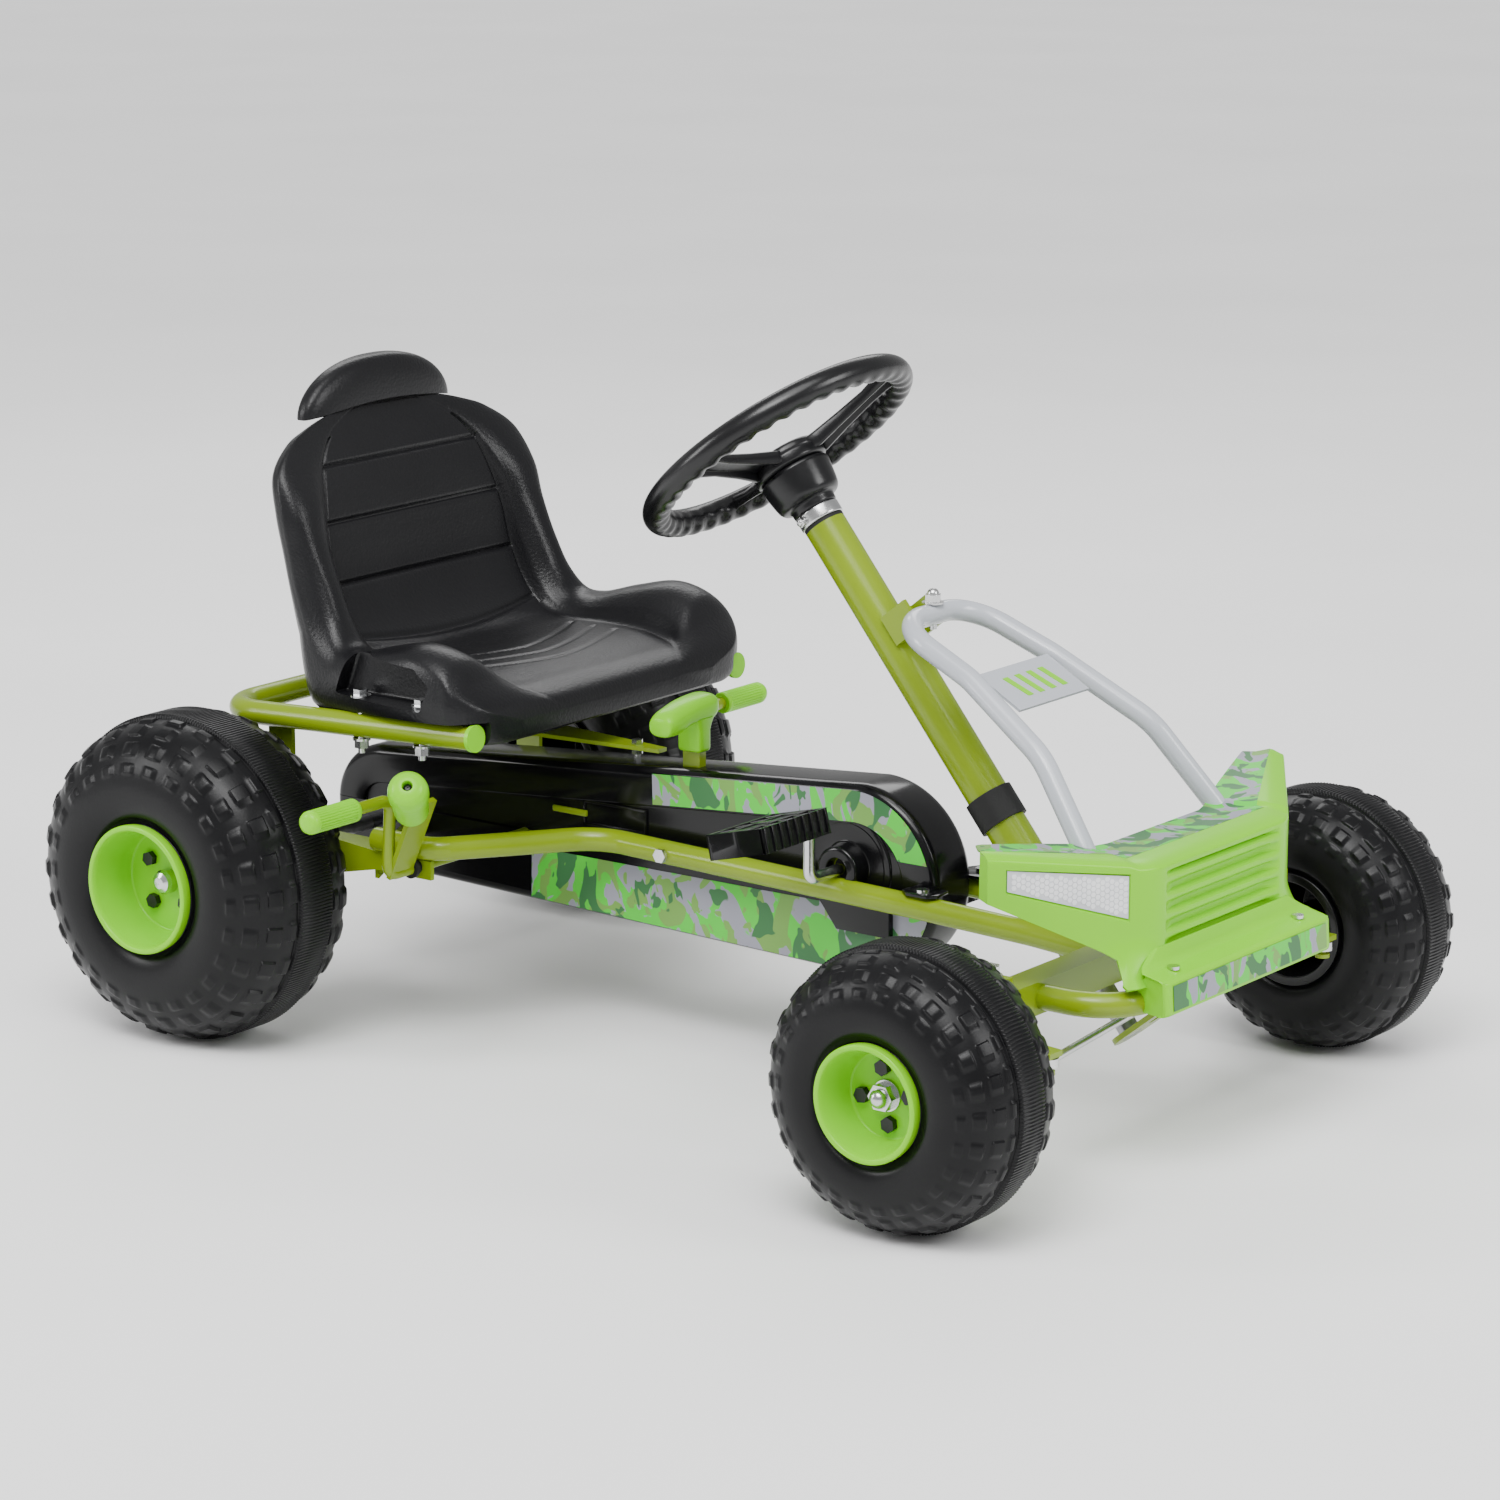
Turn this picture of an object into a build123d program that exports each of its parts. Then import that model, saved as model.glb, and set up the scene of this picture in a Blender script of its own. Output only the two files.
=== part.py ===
from build123d import *
import os
from math import atan2, cos, degrees, pi, radians, sin

# Child's pedal go kart.  +X forward, +Y left, +Z up; the origin is on the ground,
# under the middle of the overall length.  Millimetres.

# ---- driving dimensions --------------------------------------------------------
WHEELBASE = 710.0
REAR_X = -342.0
FRONT_X = REAR_X + WHEELBASE
REAR_R = 128.0
FRONT_R = 101.5
REAR_TYRE_Y = (161.0, 292.0)
# the left rear wheel is bolted this much further out on the axle than the right one
REAR_LEFT_OUT = 38.5
FRONT_TYRE_Y = (219.5, 331.0)
REAR_LIP = (293.0, 52.5)
FRONT_LIP = (331.5, 43.0)
REAR_DISC = (255.0, 44.0)
FRONT_DISC = (302.0, 34.0)
AXLE_R = 6.0
RUNNING = 0.05
GAP = 0.3

FRAME_TUBE_R = 9.2
TUBE_WALL = 1.5
RAIL_R = 9.5
RAIL_Y = 162.0
RAIL_FRONT_X = -114.0
RAIL_FRONT_Z = 254.6
RAIL_SLOPE = 0.045

CRANK_X = 133.0
CRANK_Z = 165.5
CRANK_THROW = 46.0
CRANK_ROD_R = 4.5
CRANK_ARM_Y = 72.0
PEDAL_Y = (82.0, 162.0)
CHAIN_PITCH = 12.7
CHAIN_Y = 8.0
RING_TEETH = 20
SPROCKET_TEETH = 10

CASE_HALF = 25.0
CASE_WALL = 2.5
CASE_SPLIT_Z = 146.0
CASE_FRONT = (140.0, 156.0, 74.0)
CASE_REAR = (-327.0, 143.0, 50.0)

COLUMN_ANGLE = 51.2
COLUMN_TOP = (94.2, 416.3)
COLUMN_R = 16.0
COLUMN_LENGTH = 368.0
WHEEL_RISE = 70.0
WHEEL_RING_R = 104.5
WHEEL_RIM_R = 10.5
PITMAN_AT = 440.0
PITMAN_R = 42.0
TIE_Y = 9.0

KINGPIN_Y = 181.0
KNUCKLE_ARM = 52.0
BEAM_Z = 133.0
BEAM = 24.0
BUMPER_X = 443.0
BUMPER_TUBE_Y = 132.0

BRAKE_X = -180.0
BRAKE_Z = 143.0
BRAKE_ROD_R = 4.75
BRAKE_ARM_Y = 186.0
BRAKE_TOP = (-176.0, 203.0)
BRAKE_SLEEVE_Y = (227.0, 281.0)

LEVER_X = -23.0
LEVER_Z = 186.0
LEVER_Y = -8.0

SIDES = {"right": -1, "left": 1}

os.makedirs("parts", exist_ok=True)


# ---- helpers -------------------------------------------------------------------
def save(builder, label):
    builder.part.label = label
    export_step(builder.part, f"parts/{label}.step")


def cyl_y(x, z, y0, y1, radius, mode=Mode.ADD):
    """A cylinder across the kart, from y0 to y1."""
    with Locations((x, (y0 + y1) / 2, z)):
        Cylinder(radius, abs(y1 - y0), rotation=(90, 0, 0), mode=mode)


def cyl_z(x, y, z0, z1, radius, mode=Mode.ADD):
    """An upright cylinder, from z0 to z1."""
    with Locations((x, y, (z0 + z1) / 2)):
        Cylinder(radius, abs(z1 - z0), mode=mode)


def block(x0, x1, y0, y1, z0, z1, mode=Mode.ADD):
    """A box between two corners."""
    with Locations(((x0 + x1) / 2, (y0 + y1) / 2, (z0 + z1) / 2)):
        Box(abs(x1 - x0), abs(y1 - y0), abs(z1 - z0), mode=mode)


def hex_y(x, z, y0, y1, across_flats, mode=Mode.ADD):
    """A hexagonal head or nut whose axis runs across the kart."""
    with BuildPart(mode=Mode.PRIVATE) as head:
        with BuildSketch(side_plane(y0)):
            with Locations((x, z)):
                RegularPolygon(across_flats / 2, 6, major_radius=False)
        extrude(amount=y0 - y1)
    add(head.part, mode=mode)


def hex_z(x, y, z0, z1, across_flats, mode=Mode.ADD):
    """An upright hexagonal head or nut."""
    with BuildPart(mode=Mode.PRIVATE) as head:
        with BuildSketch(Plane.XY.offset(z0)):
            with Locations((x, y)):
                RegularPolygon(across_flats / 2, 6, major_radius=False)
        extrude(amount=z1 - z0)
    add(head.part, mode=mode)


def side_plane(y):
    """The upright plane along the kart at y; its own x is X and its own y is Z."""
    return Plane(origin=(0, y, 0), x_dir=(1, 0, 0), z_dir=(0, -1, 0))


def front_plane(x):
    """The upright plane across the kart at x; its own x is Y and its own y is Z."""
    return Plane(origin=(x, 0, 0), x_dir=(0, 1, 0), z_dir=(1, 0, 0))


def bent_rod(points, radii, radius, bore=0.0):
    """A round bar or tube along straight runs joined by arcs."""
    with BuildPart() as rod:
        with BuildLine() as path:
            FilletPolyline(*points, radius=radii)
        with BuildSketch(Plane(origin=path.line @ 0, z_dir=path.line % 0)):
            Circle(radius)
            if bore:
                Circle(bore, mode=Mode.SUBTRACT)
        sweep()
    return rod.part


def wheel_profile(points):
    """A closed outline of (distance along the axle, radius) pairs, spun round the axle."""
    with BuildPart() as body:
        with BuildSketch(Plane.XY):
            with BuildLine():
                Polyline(*points, close=True)
            make_face()
        revolve(axis=Axis.X)
    return body.part


def on_axle(shape, x, z, side):
    """Turns a spun wheel part so that its axle points outboard, and puts it at its axle."""
    out = REAR_LEFT_OUT if side > 0 and x == REAR_X else 0
    return Pos(x, out, z) * Rot(0, 0, 90 * side) * shape


def column_plane(distance, y=0.0):
    """A plane square to the steering column, at a distance down from the tube's top."""
    a = radians(COLUMN_ANGLE)
    origin = (COLUMN_TOP[0] + distance * cos(a), y, COLUMN_TOP[1] - distance * sin(a))
    return Plane(origin=origin, x_dir=(sin(a), 0, cos(a)), z_dir=(-cos(a), 0, sin(a)))


def rail_z(x):
    """Height of the seat rail's centre line."""
    return RAIL_FRONT_Z - RAIL_SLOPE * (RAIL_FRONT_X - x)


# ---- frame ---------------------------------------------------------------------
BRACKET_Y = (148.4, 152.4)
TUBE_REAR_Y = 150.0
TUBE_REAR_Z = 158.0
TUBE_SIDE_Y = 38.0
CASE_BOLT = (-24.0, 154.5)
FLANGE_SCREW = (212.0, 39.0)

for side, s in SIDES.items():
    tube = bent_rod(
        [
            (FRONT_X - BEAM / 2, s * 26.5, 138),
            (300, s * 26.5, 142),
            (215, s * TUBE_SIDE_Y, 149),
            (-92, s * TUBE_SIDE_Y, 156),
            (-166, s * TUBE_REAR_Y, TUBE_REAR_Z),
            (-222, s * TUBE_REAR_Y, TUBE_REAR_Z),
        ],
        [60, 60, 45, 22],
        FRAME_TUBE_R,
        FRAME_TUBE_R - TUBE_WALL,
    )
    with BuildPart() as frame_tube:
        add(tube)
        # ear that carries the crank's bush, on the tube's inner side
        ear_y = sorted([s * (CASE_HALF + 0.5), s * (CASE_HALF + 3.5)])
        block(CRANK_X - 13, CRANK_X + 13, *ear_y, 150, CRANK_Z)
        block(CRANK_X - 10, CRANK_X + 10, s * (CASE_HALF + 0.5), s * (TUBE_SIDE_Y - 8), 147, 155)
        cyl_y(CRANK_X, CRANK_Z, *ear_y, 13)
        cyl_y(CRANK_X, CRANK_Z, *ear_y, 8, mode=Mode.SUBTRACT)
        cyl_y(CASE_BOLT[0], CASE_BOLT[1], s * 26, s * 50, 3.0, mode=Mode.SUBTRACT)
        cyl_z(FLANGE_SCREW[0], s * FLANGE_SCREW[1], 150, 162, 2.6, mode=Mode.SUBTRACT)
        block(FRONT_X - BEAM / 2, FRONT_X + 9, s * 10, s * 45, 110, 160, mode=Mode.SUBTRACT)
    save(frame_tube, f"frame_tube_{side}")

    with BuildPart() as bracket:
        y0, y1 = sorted([s * BRACKET_Y[0], s * BRACKET_Y[1]])
        with BuildSketch(side_plane(y1)):
            with BuildLine():
                Polyline(
                    (REAR_X - 20, 112),
                    (REAR_X + 20, 112),
                    (-222, 134),
                    (-166, 134),
                    (-166, TUBE_REAR_Z - FRAME_TUBE_R - 0.02),
                    (-222, TUBE_REAR_Z - FRAME_TUBE_R - 0.02),
                    (-306, 156),
                    (-306, rail_z(-306) + 4),
                    (-330, rail_z(-330) + 4),
                    (-330, 156),
                    (REAR_X - 20, 148),
                    close=True,
                )
            make_face()
            with Locations((REAR_X, REAR_R)):
                Circle(9.5, mode=Mode.SUBTRACT)
            with Locations((BRAKE_X, BRAKE_Z)):
                Circle(BRAKE_ROD_R + RUNNING, mode=Mode.SUBTRACT)
        extrude(amount=y1 - y0)
        # top flange and the brace that runs in to the chain case
        flange = sorted([s * BRACKET_Y[0], s * 122])
        block(-300, -222, *flange, 145.5, 148.5)
        with BuildSketch(Plane.XY.offset(126)):
            with BuildLine():
                Polyline(
                    (-222, s * BRACKET_Y[0]),
                    (-226, s * BRACKET_Y[0]),
                    (-290, s * (CASE_HALF + 2)),
                    (-286, s * (CASE_HALF + 2)),
                    close=True,
                )
            make_face()
        extrude(amount=20)
    save(bracket, f"rear_bracket_{side}")

with BuildPart() as front_beam:
    block(FRONT_X - BEAM / 2, FRONT_X + BEAM / 2, -172, 172, BEAM_Z - BEAM / 2, BEAM_Z + BEAM / 2)
    inner = BEAM / 2 - 2
    block(FRONT_X - inner, FRONT_X + inner, -172, 172, BEAM_Z - inner, BEAM_Z + inner, mode=Mode.SUBTRACT)
    for s in SIDES.values():
        with Locations((FRONT_X, s * BUMPER_TUBE_Y, BEAM_Z)):
            Cylinder(FRAME_TUBE_R, BEAM + 2, rotation=(0, 90, 0), mode=Mode.SUBTRACT)
        cyl_z(FRONT_X, s * KINGPIN_Y, 115, 151, 11)
        cyl_z(FRONT_X, s * KINGPIN_Y, 115, 151, 4.1, mode=Mode.SUBTRACT)
save(front_beam, "front_axle_beam")

with BuildPart() as bumper_tube:
    add(
        bent_rod(
            [
                (FRONT_X - 24, -BUMPER_TUBE_Y, BEAM_Z),
                (BUMPER_X, -BUMPER_TUBE_Y, BEAM_Z),
                (BUMPER_X, BUMPER_TUBE_Y, BEAM_Z),
                (FRONT_X - 24, BUMPER_TUBE_Y, BEAM_Z),
            ],
            [42, 42],
            FRAME_TUBE_R,
            FRAME_TUBE_R - TUBE_WALL,
        )
    )
save(bumper_tube, "bumper_tube")

# ---- steering column -----------------------------------------------------------
SHAFT_R = 8.0
BUSH_LENGTH = 14.0

with BuildPart() as column_tube:
    with BuildSketch(column_plane(0)):
        Circle(COLUMN_R)
        Circle(COLUMN_R - TUBE_WALL, mode=Mode.SUBTRACT)
    extrude(amount=-COLUMN_LENGTH)
    # the two frame tubes are let into the column tube's sides
    for s in SIDES.values():
        with Locations((322, s * 26.5, 140.5)):
            Cylinder(FRAME_TUBE_R + 0.1, 90, rotation=(0, 90 + degrees(atan2(4, 56)), 0), mode=Mode.SUBTRACT)
save(column_tube, "column_tube")

with BuildPart() as column_band:
    with BuildSketch(column_plane(237)):
        Circle(COLUMN_R + 2.5)
        Circle(COLUMN_R, mode=Mode.SUBTRACT)
    extrude(amount=-24)
save(column_band, "column_band")

HOOP_R = 8.0
HOOP_TOP = (190, 362)
HOOP_HALF = [
    (HOOP_TOP[0] + 2, 46, HOOP_TOP[1] - 1),
    (262, 54, 331),
    (337, 72, 287),
    (384, 87, 229),
    (436, 97, 148),
]


def hoop_rod(radius, bore=0.0):
    """The hoop's path, from one foot over the top to the other."""
    points = [(x, -y, z) for x, y, z in reversed(HOOP_HALF)] + HOOP_HALF
    return bent_rod(points, [60, 70, 60, 36, 36, 60, 70, 60], radius, bore)


SADDLE_AT = 98.0
with BuildPart() as column_saddle:
    with BuildSketch(column_plane(SADDLE_AT - 12)):
        with Locations((COLUMN_R + 8, 0)):
            Rectangle(26, 34)
        Circle(COLUMN_R, mode=Mode.SUBTRACT)
        with Locations((COLUMN_R + 14, 0)):
            Rectangle(20, 26, mode=Mode.SUBTRACT)
    extrude(amount=-24)
    add(hoop_rod(HOOP_R), mode=Mode.SUBTRACT)
save(column_saddle, "column_saddle")

with BuildPart() as hoop:
    add(hoop_rod(HOOP_R, HOOP_R - 1.2))
    cyl_z(HOOP_TOP[0] + 2, 0, HOOP_TOP[1] - 20, HOOP_TOP[1] + 20, 3.1, mode=Mode.SUBTRACT)
save(hoop, "hoop")

with BuildPart() as hoop_bolt:
    bolt_x = HOOP_TOP[0] + 2
    cyl_z(bolt_x, 0, 350, 374, 3.0)
    cyl_z(bolt_x, 0, 369.2, 370.4, 8)
    hex_z(bolt_x, 0, 370.4, 376, 11)
    with Locations((bolt_x, 0, 376)):
        Sphere(4.6)
save(hoop_bolt, "hoop_bolt")

PLATE_TOP = (262, 331)
PLATE_BOTTOM = (299, 310)
with BuildPart() as number_plate:
    with BuildSketch(side_plane(-45)) as plate_edge:
        with BuildLine():
            Polyline(
                PLATE_TOP,
                PLATE_BOTTOM,
                (PLATE_BOTTOM[0] + 1, PLATE_BOTTOM[1] + 1.8),
                (PLATE_TOP[0] + 1, PLATE_TOP[1] + 1.8),
                close=True,
            )
        make_face()
    extrude(amount=-90)
save(number_plate, "number_plate")

# ---- bumper --------------------------------------------------------------------
BUMPER_WALL = 3.0
LIP_HALF = 112.0
SCREW_X = 457.0
SCREW_Y = 84.4


def mirrored(half):
    """Half an outline of (y, other) pairs with its mirror image, as one closed outline."""
    return half + [(-y, v) for y, v in reversed(half) if y > 0]


def bumper_block(plan, front):
    """The solid common to an outline seen from above and an outline seen from the front."""
    with BuildPart() as body:
        with BuildSketch(Plane.XY.offset(100)):
            with BuildLine():
                Polyline(*[(x, y) for y, x in mirrored(plan)], close=True)
            make_face()
        extrude(amount=200)
        with BuildSketch(front_plane(300)):
            with BuildLine():
                Polyline(*mirrored(front), close=True)
            make_face()
        extrude(amount=200, mode=Mode.INTERSECT)
    return body.part


outside = bumper_block(
    [(0, 445), (89, 445), (197, 376), (182, 352), (80, 398), (0, 398)],
    [(0, 228), (89, 228), (197, 252), (197, 213), (108, 163), (100, 146), (0, 146)],
)
inside = bumper_block(
    [(0, 442), (88, 442), (193, 375), (180, 340), (80, 340), (0, 340)],
    [(0, 225), (89, 225), (197, 249), (197, 140), (0, 140)],
)
with BuildPart() as bumper_cover:
    add(outside)
    add(inside, mode=Mode.SUBTRACT)
    # lip along the bottom
    with BuildSketch(side_plane(LIP_HALF)):
        with BuildLine():
            Polyline(
                (444, 170),
                (450, 156),
                (466, 153.6),
                (470, 128),
                (466, 127),
                (463, 150.5),
                (448, 153),
                (441, 168),
                close=True,
            )
        make_face()
    extrude(amount=2 * LIP_HALF)
    for s in SIDES.values():
        cyl_z(SCREW_X, s * SCREW_Y, 140, 160, 2.6, mode=Mode.SUBTRACT)
    add(hoop_rod(HOOP_R + 1), mode=Mode.SUBTRACT)
save(bumper_cover, "bumper_cover")

with BuildPart() as bumper_reflectors:
    along = Vector(376 - 445, 197 - 89, 0).normalized()
    with BuildSketch(Plane(origin=(445, 89, 0), x_dir=along, z_dir=along.cross(Vector(0, 0, 1)))):
        with BuildLine():
            Polyline((22, 191), (22, 226), (112, 241), (112, 219), close=True)
        make_face()
    extrude(amount=0.8)
    mirror(about=Plane.XZ)
save(bumper_reflectors, "bumper_reflectors")

# ---- wheels --------------------------------------------------------------------
# half of a tyre's outer outline, as fractions of its half width and of its height over the bead
TYRE_CURVE = [
    (0.87, 0.0),
    (0.985, 0.164),
    (1.0, 0.359),
    (0.955, 0.582),
    (0.85, 0.763),
    (0.687, 0.895),
    (0.448, 0.975),
    (0.26, 1.0),
]
TYRE_WALL = 4.0
FLANGE = 3.0


def tyre(y_range, radius, lip_radius):
    """A hollow moulded tyre, open towards the rim."""
    middle = sum(y_range) / 2
    half = (y_range[1] - y_range[0]) / 2
    bead = lip_radius + FLANGE + 0.4
    toe = lip_radius - 1 + GAP

    def curve(shrink):
        side_points = [
            ((half - shrink) * u, bead + (radius - shrink - bead) * v) for u, v in TYRE_CURVE
        ]
        return side_points + [(-u, r) for u, r in reversed(side_points)]

    outer = [(0.86 * half, toe)] + curve(0) + [(-0.86 * half, toe)]
    inner = [(-0.78 * half, toe)] + list(reversed(curve(TYRE_WALL))) + [(0.78 * half, toe)]
    return wheel_profile([(middle + u, r) for u, r in outer + inner])


def rim(y_range, lip, disc, bore, hub, bolt_circle, first_angle):
    """A deep-dish rim: outer lip, dish, bolted disc, hub and the barrel that holds the tyre."""
    lip_y, lip_r = lip
    disc_y, disc_r = disc
    hub_inner, hub_r = hub
    inner_y = y_range[0] + 3
    barrel = lip_r - 1
    spun = wheel_profile(
        [
            (hub_inner, bore),
            (disc_y, bore),
            (disc_y, disc_r),
            (lip_y - 2, lip_r - 3),
            (lip_y, lip_r - 1.5),
            (lip_y, lip_r + 1.5),
            (lip_y - 2, lip_r + FLANGE),
            (lip_y - 7, lip_r + FLANGE),
            (lip_y - 7, barrel),
            (inner_y + 4, barrel),
            (inner_y + 4, barrel + 3.5),
            (inner_y, barrel + 3.5),
            (inner_y, barrel - 3),
            (disc_y - 5, disc_r - 1),
            (disc_y - 5, hub_r),
            (hub_inner, hub_r),
        ]
    )
    with BuildPart() as body:
        add(spun)
        with BuildSketch(Plane.YZ.offset(disc_y - 10)):
            with PolarLocations(bolt_circle, 4, start_angle=first_angle):
                Circle(3.1)
        extrude(amount=20, mode=Mode.SUBTRACT)
    return body.part


def rim_bolts(disc_y, bolt_circle, first_angle):
    """Four hexagon bolts with their nuts behind the disc."""
    with BuildPart() as body:
        for plane_y, depth, head in ((disc_y, 5.0, True), (disc_y - 5, -5.0, True), (disc_y - 10, 10, False)):
            with BuildSketch(Plane.YZ.offset(plane_y)):
                with PolarLocations(bolt_circle, 4, start_angle=first_angle):
                    if head:
                        RegularPolygon(5, 6, major_radius=False)
                    else:
                        Circle(3.0)
            extrude(amount=depth)
    return body.part


REAR_BOLTS = (23.5, 50)
FRONT_BOLTS = (19.8, 8)
REAR_HUB = (235.0, 15.0)
FRONT_HUB = (226.0, 13.0)

rear_tyre = tyre(REAR_TYRE_Y, REAR_R, REAR_LIP[1])
front_tyre = tyre(FRONT_TYRE_Y, FRONT_R, FRONT_LIP[1])
rear_rim = rim(REAR_TYRE_Y, REAR_LIP, REAR_DISC, AXLE_R, REAR_HUB, *REAR_BOLTS)
front_rim = rim(FRONT_TYRE_Y, FRONT_LIP, FRONT_DISC, AXLE_R + RUNNING, FRONT_HUB, *FRONT_BOLTS)
rear_bolts = rim_bolts(REAR_DISC[0], *REAR_BOLTS)
front_bolts = rim_bolts(FRONT_DISC[0], *FRONT_BOLTS)

for side, s in SIDES.items():
    for label, shape, x, z in (
        (f"rear_tyre_{side}", rear_tyre, REAR_X, REAR_R),
        (f"rear_rim_{side}", rear_rim, REAR_X, REAR_R),
        (f"front_tyre_{side}", front_tyre, FRONT_X, FRONT_R),
        (f"front_rim_{side}", front_rim, FRONT_X, FRONT_R),
        (f"front_rim_bolts_{side}", front_bolts, FRONT_X, FRONT_R),
    ):
        with BuildPart() as wheel_piece:
            add(on_axle(shape, x, z, s))
        save(wheel_piece, label)

with BuildPart() as rear_rim_bolts:
    for s in SIDES.values():
        add(on_axle(rear_bolts, REAR_X, REAR_R, s))
save(rear_rim_bolts, "rear_rim_bolts")

AXLE_END = 262.0
CHAIN_PLANE = (CHAIN_Y - 1.25, CHAIN_Y + 1.25)
SPROCKET_R = CHAIN_PITCH / (2 * sin(pi / SPROCKET_TEETH))
CHAINRING_R = CHAIN_PITCH / (2 * sin(pi / RING_TEETH))

with BuildPart() as rear_axle:
    cyl_y(REAR_X, REAR_R, -AXLE_END, AXLE_END + REAR_LEFT_OUT, AXLE_R)
save(rear_axle, "rear_axle")

cap = wheel_profile(
    [
        (REAR_DISC[0] + 0.2, AXLE_R),
        (REAR_DISC[0] + 0.2, 9.5),
        (AXLE_END, 9.5),
        (AXLE_END + 3, 7.8),
        (AXLE_END + 5, 4.4),
        (AXLE_END + 5.6, 0),
        (AXLE_END, 0),
        (AXLE_END, AXLE_R),
    ]
)
with BuildPart() as axle_caps:
    for s in SIDES.values():
        add(on_axle(cap, REAR_X, REAR_R, s))
save(axle_caps, "axle_caps")


def toothed_disc(x, z, teeth, pitch_radius, bore, hub):
    """A chain sprocket with a hub on one side."""
    with BuildPart() as disc:
        with BuildSketch(side_plane(CHAIN_PLANE[1])):
            with Locations((x, z)):
                Circle(pitch_radius + 3.0)
                with PolarLocations(pitch_radius, teeth):
                    Circle(4.1, mode=Mode.SUBTRACT)
                Circle(bore, mode=Mode.SUBTRACT)
        extrude(amount=CHAIN_PLANE[1] - CHAIN_PLANE[0])
        cyl_y(x, z, CHAIN_PLANE[0] - 5, CHAIN_PLANE[0], hub)
        cyl_y(x, z, CHAIN_PLANE[0] - 6, CHAIN_PLANE[1] + 1, bore, mode=Mode.SUBTRACT)
    return disc


save(toothed_disc(REAR_X, REAR_R, SPROCKET_TEETH, SPROCKET_R, AXLE_R, 11), "rear_sprocket")
save(toothed_disc(CRANK_X, CRANK_Z, RING_TEETH, CHAINRING_R, CRANK_ROD_R, 10), "chainring")


def belt_outline(grow):
    """The band outline round both sprockets, grown from the pitch line."""
    with BuildSketch(side_plane(0)) as outline:
        with Locations((REAR_X, REAR_R)):
            Circle(SPROCKET_R + grow)
        with Locations((CRANK_X, CRANK_Z)):
            Circle(CHAINRING_R + grow)
        make_hull()
    return outline.sketch


with BuildPart() as chain:
    for grow, y0, y1, mode in (
        (4.6, CHAIN_Y - 3.8, CHAIN_Y + 3.8, Mode.ADD),
        (-3.6, CHAIN_Y - 3.8, CHAIN_Y + 3.8, Mode.SUBTRACT),
        (3.4, CHAIN_Y - 1.8, CHAIN_Y + 1.8, Mode.SUBTRACT),
    ):
        band = Pos(0, y1, 0) * belt_outline(grow)
        extrude(band, amount=y1 - y0, mode=mode)
save(chain, "chain")

# ---- chain case ----------------------------------------------------------------


def case_outline(inset):
    """The case's side view, inset from its outer edge."""
    with BuildSketch(side_plane(0)) as outline:
        for x, z, r in (CASE_FRONT, CASE_REAR):
            with Locations((x, z)):
                Circle(r - inset)
        make_hull()
    return outline.sketch


SLOT_HALF = 18.0
BRACKET_BOLT_X = -85.0
with BuildPart() as case:
    extrude(Pos(0, CASE_HALF, 0) * case_outline(0), amount=2 * CASE_HALF)
    case_inner = CASE_HALF - CASE_WALL
    extrude(Pos(0, case_inner, 0) * case_outline(CASE_WALL), amount=2 * case_inner, mode=Mode.SUBTRACT)
    cyl_y(CRANK_X, CRANK_Z, -40, 40, 12, mode=Mode.SUBTRACT)
    cyl_y(REAR_X, REAR_R, -40, 40, 9, mode=Mode.SUBTRACT)
    cyl_y(BRAKE_X, BRAKE_Z, -40, 40, 8, mode=Mode.SUBTRACT)
    block(LEVER_X - SLOT_HALF, LEVER_X + SLOT_HALF, LEVER_Y - 6, LEVER_Y + 6, 200, 240, mode=Mode.SUBTRACT)

with BuildPart() as chain_case_upper:
    add(case.part)
    split(bisect_by=Plane.XY.offset(CASE_SPLIT_Z + 0.15), keep=Keep.TOP)
    for s in SIDES.values():
        block(196, 224, s * (CASE_HALF - 1), s * 46, 158.8, 161.2)
        cyl_z(FLANGE_SCREW[0], s * FLANGE_SCREW[1], 155, 165, 2.6, mode=Mode.SUBTRACT)
        cyl_y(*CASE_BOLT, s * 15, s * 30, 3.0, mode=Mode.SUBTRACT)
    cyl_z(BRACKET_BOLT_X, 0, 200, 225, 2.5, mode=Mode.SUBTRACT)
    cyl_y(LEVER_X, LEVER_Z, -CASE_HALF + 1, -12.6, 6.5)
    cyl_y(LEVER_X, LEVER_Z, -21, -12, 3.0 + RUNNING, mode=Mode.SUBTRACT)
save(chain_case_upper, "chain_case_upper")

with BuildPart() as chain_case_lower:
    add(case.part)
    split(bisect_by=Plane.XY.offset(CASE_SPLIT_Z - 0.15), keep=Keep.BOTTOM)
save(chain_case_lower, "chain_case_lower")


def decal(outline_points, inset, inner_inset=None):
    """A thin sticker's outline on the case's side, clipped to the case's edge."""
    with BuildSketch(side_plane(0)) as sticker:
        with BuildLine():
            Polyline(*outline_points, close=True)
        make_face()
        add(case_outline(inset), mode=Mode.INTERSECT)
        if inner_inset:
            add(case_outline(inner_inset), mode=Mode.SUBTRACT)
    return sticker.sketch


DECAL = 0.4
UPPER_DECAL = [(-50, 180), (-52, 260), (240, 260), (240, 177), (180, 177)]
LOWER_DECAL = [(-172, 80), (-171, 129), (-140, 134), (206, 136), (212, 80)]
with BuildPart() as case_decals:
    for s in SIDES.values():
        outer_y = s * CASE_HALF + (DECAL if s > 0 else 0)
        upper = decal(UPPER_DECAL, 5, 29)
        lower = decal(LOWER_DECAL, 4)
        for sheet in (upper, lower):
            extrude(Pos(0, outer_y, 0) * sheet, amount=DECAL)
save(case_decals, "case_decals")

with BuildPart() as frame_bolts:
    for s in SIDES.values():
        cyl_y(*CASE_BOLT, s * 20, s * 47.4, 3.0)
        hex_y(*CASE_BOLT, s * 47.4, s * 51.6, 10)
save(frame_bolts, "frame_bolts")

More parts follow.
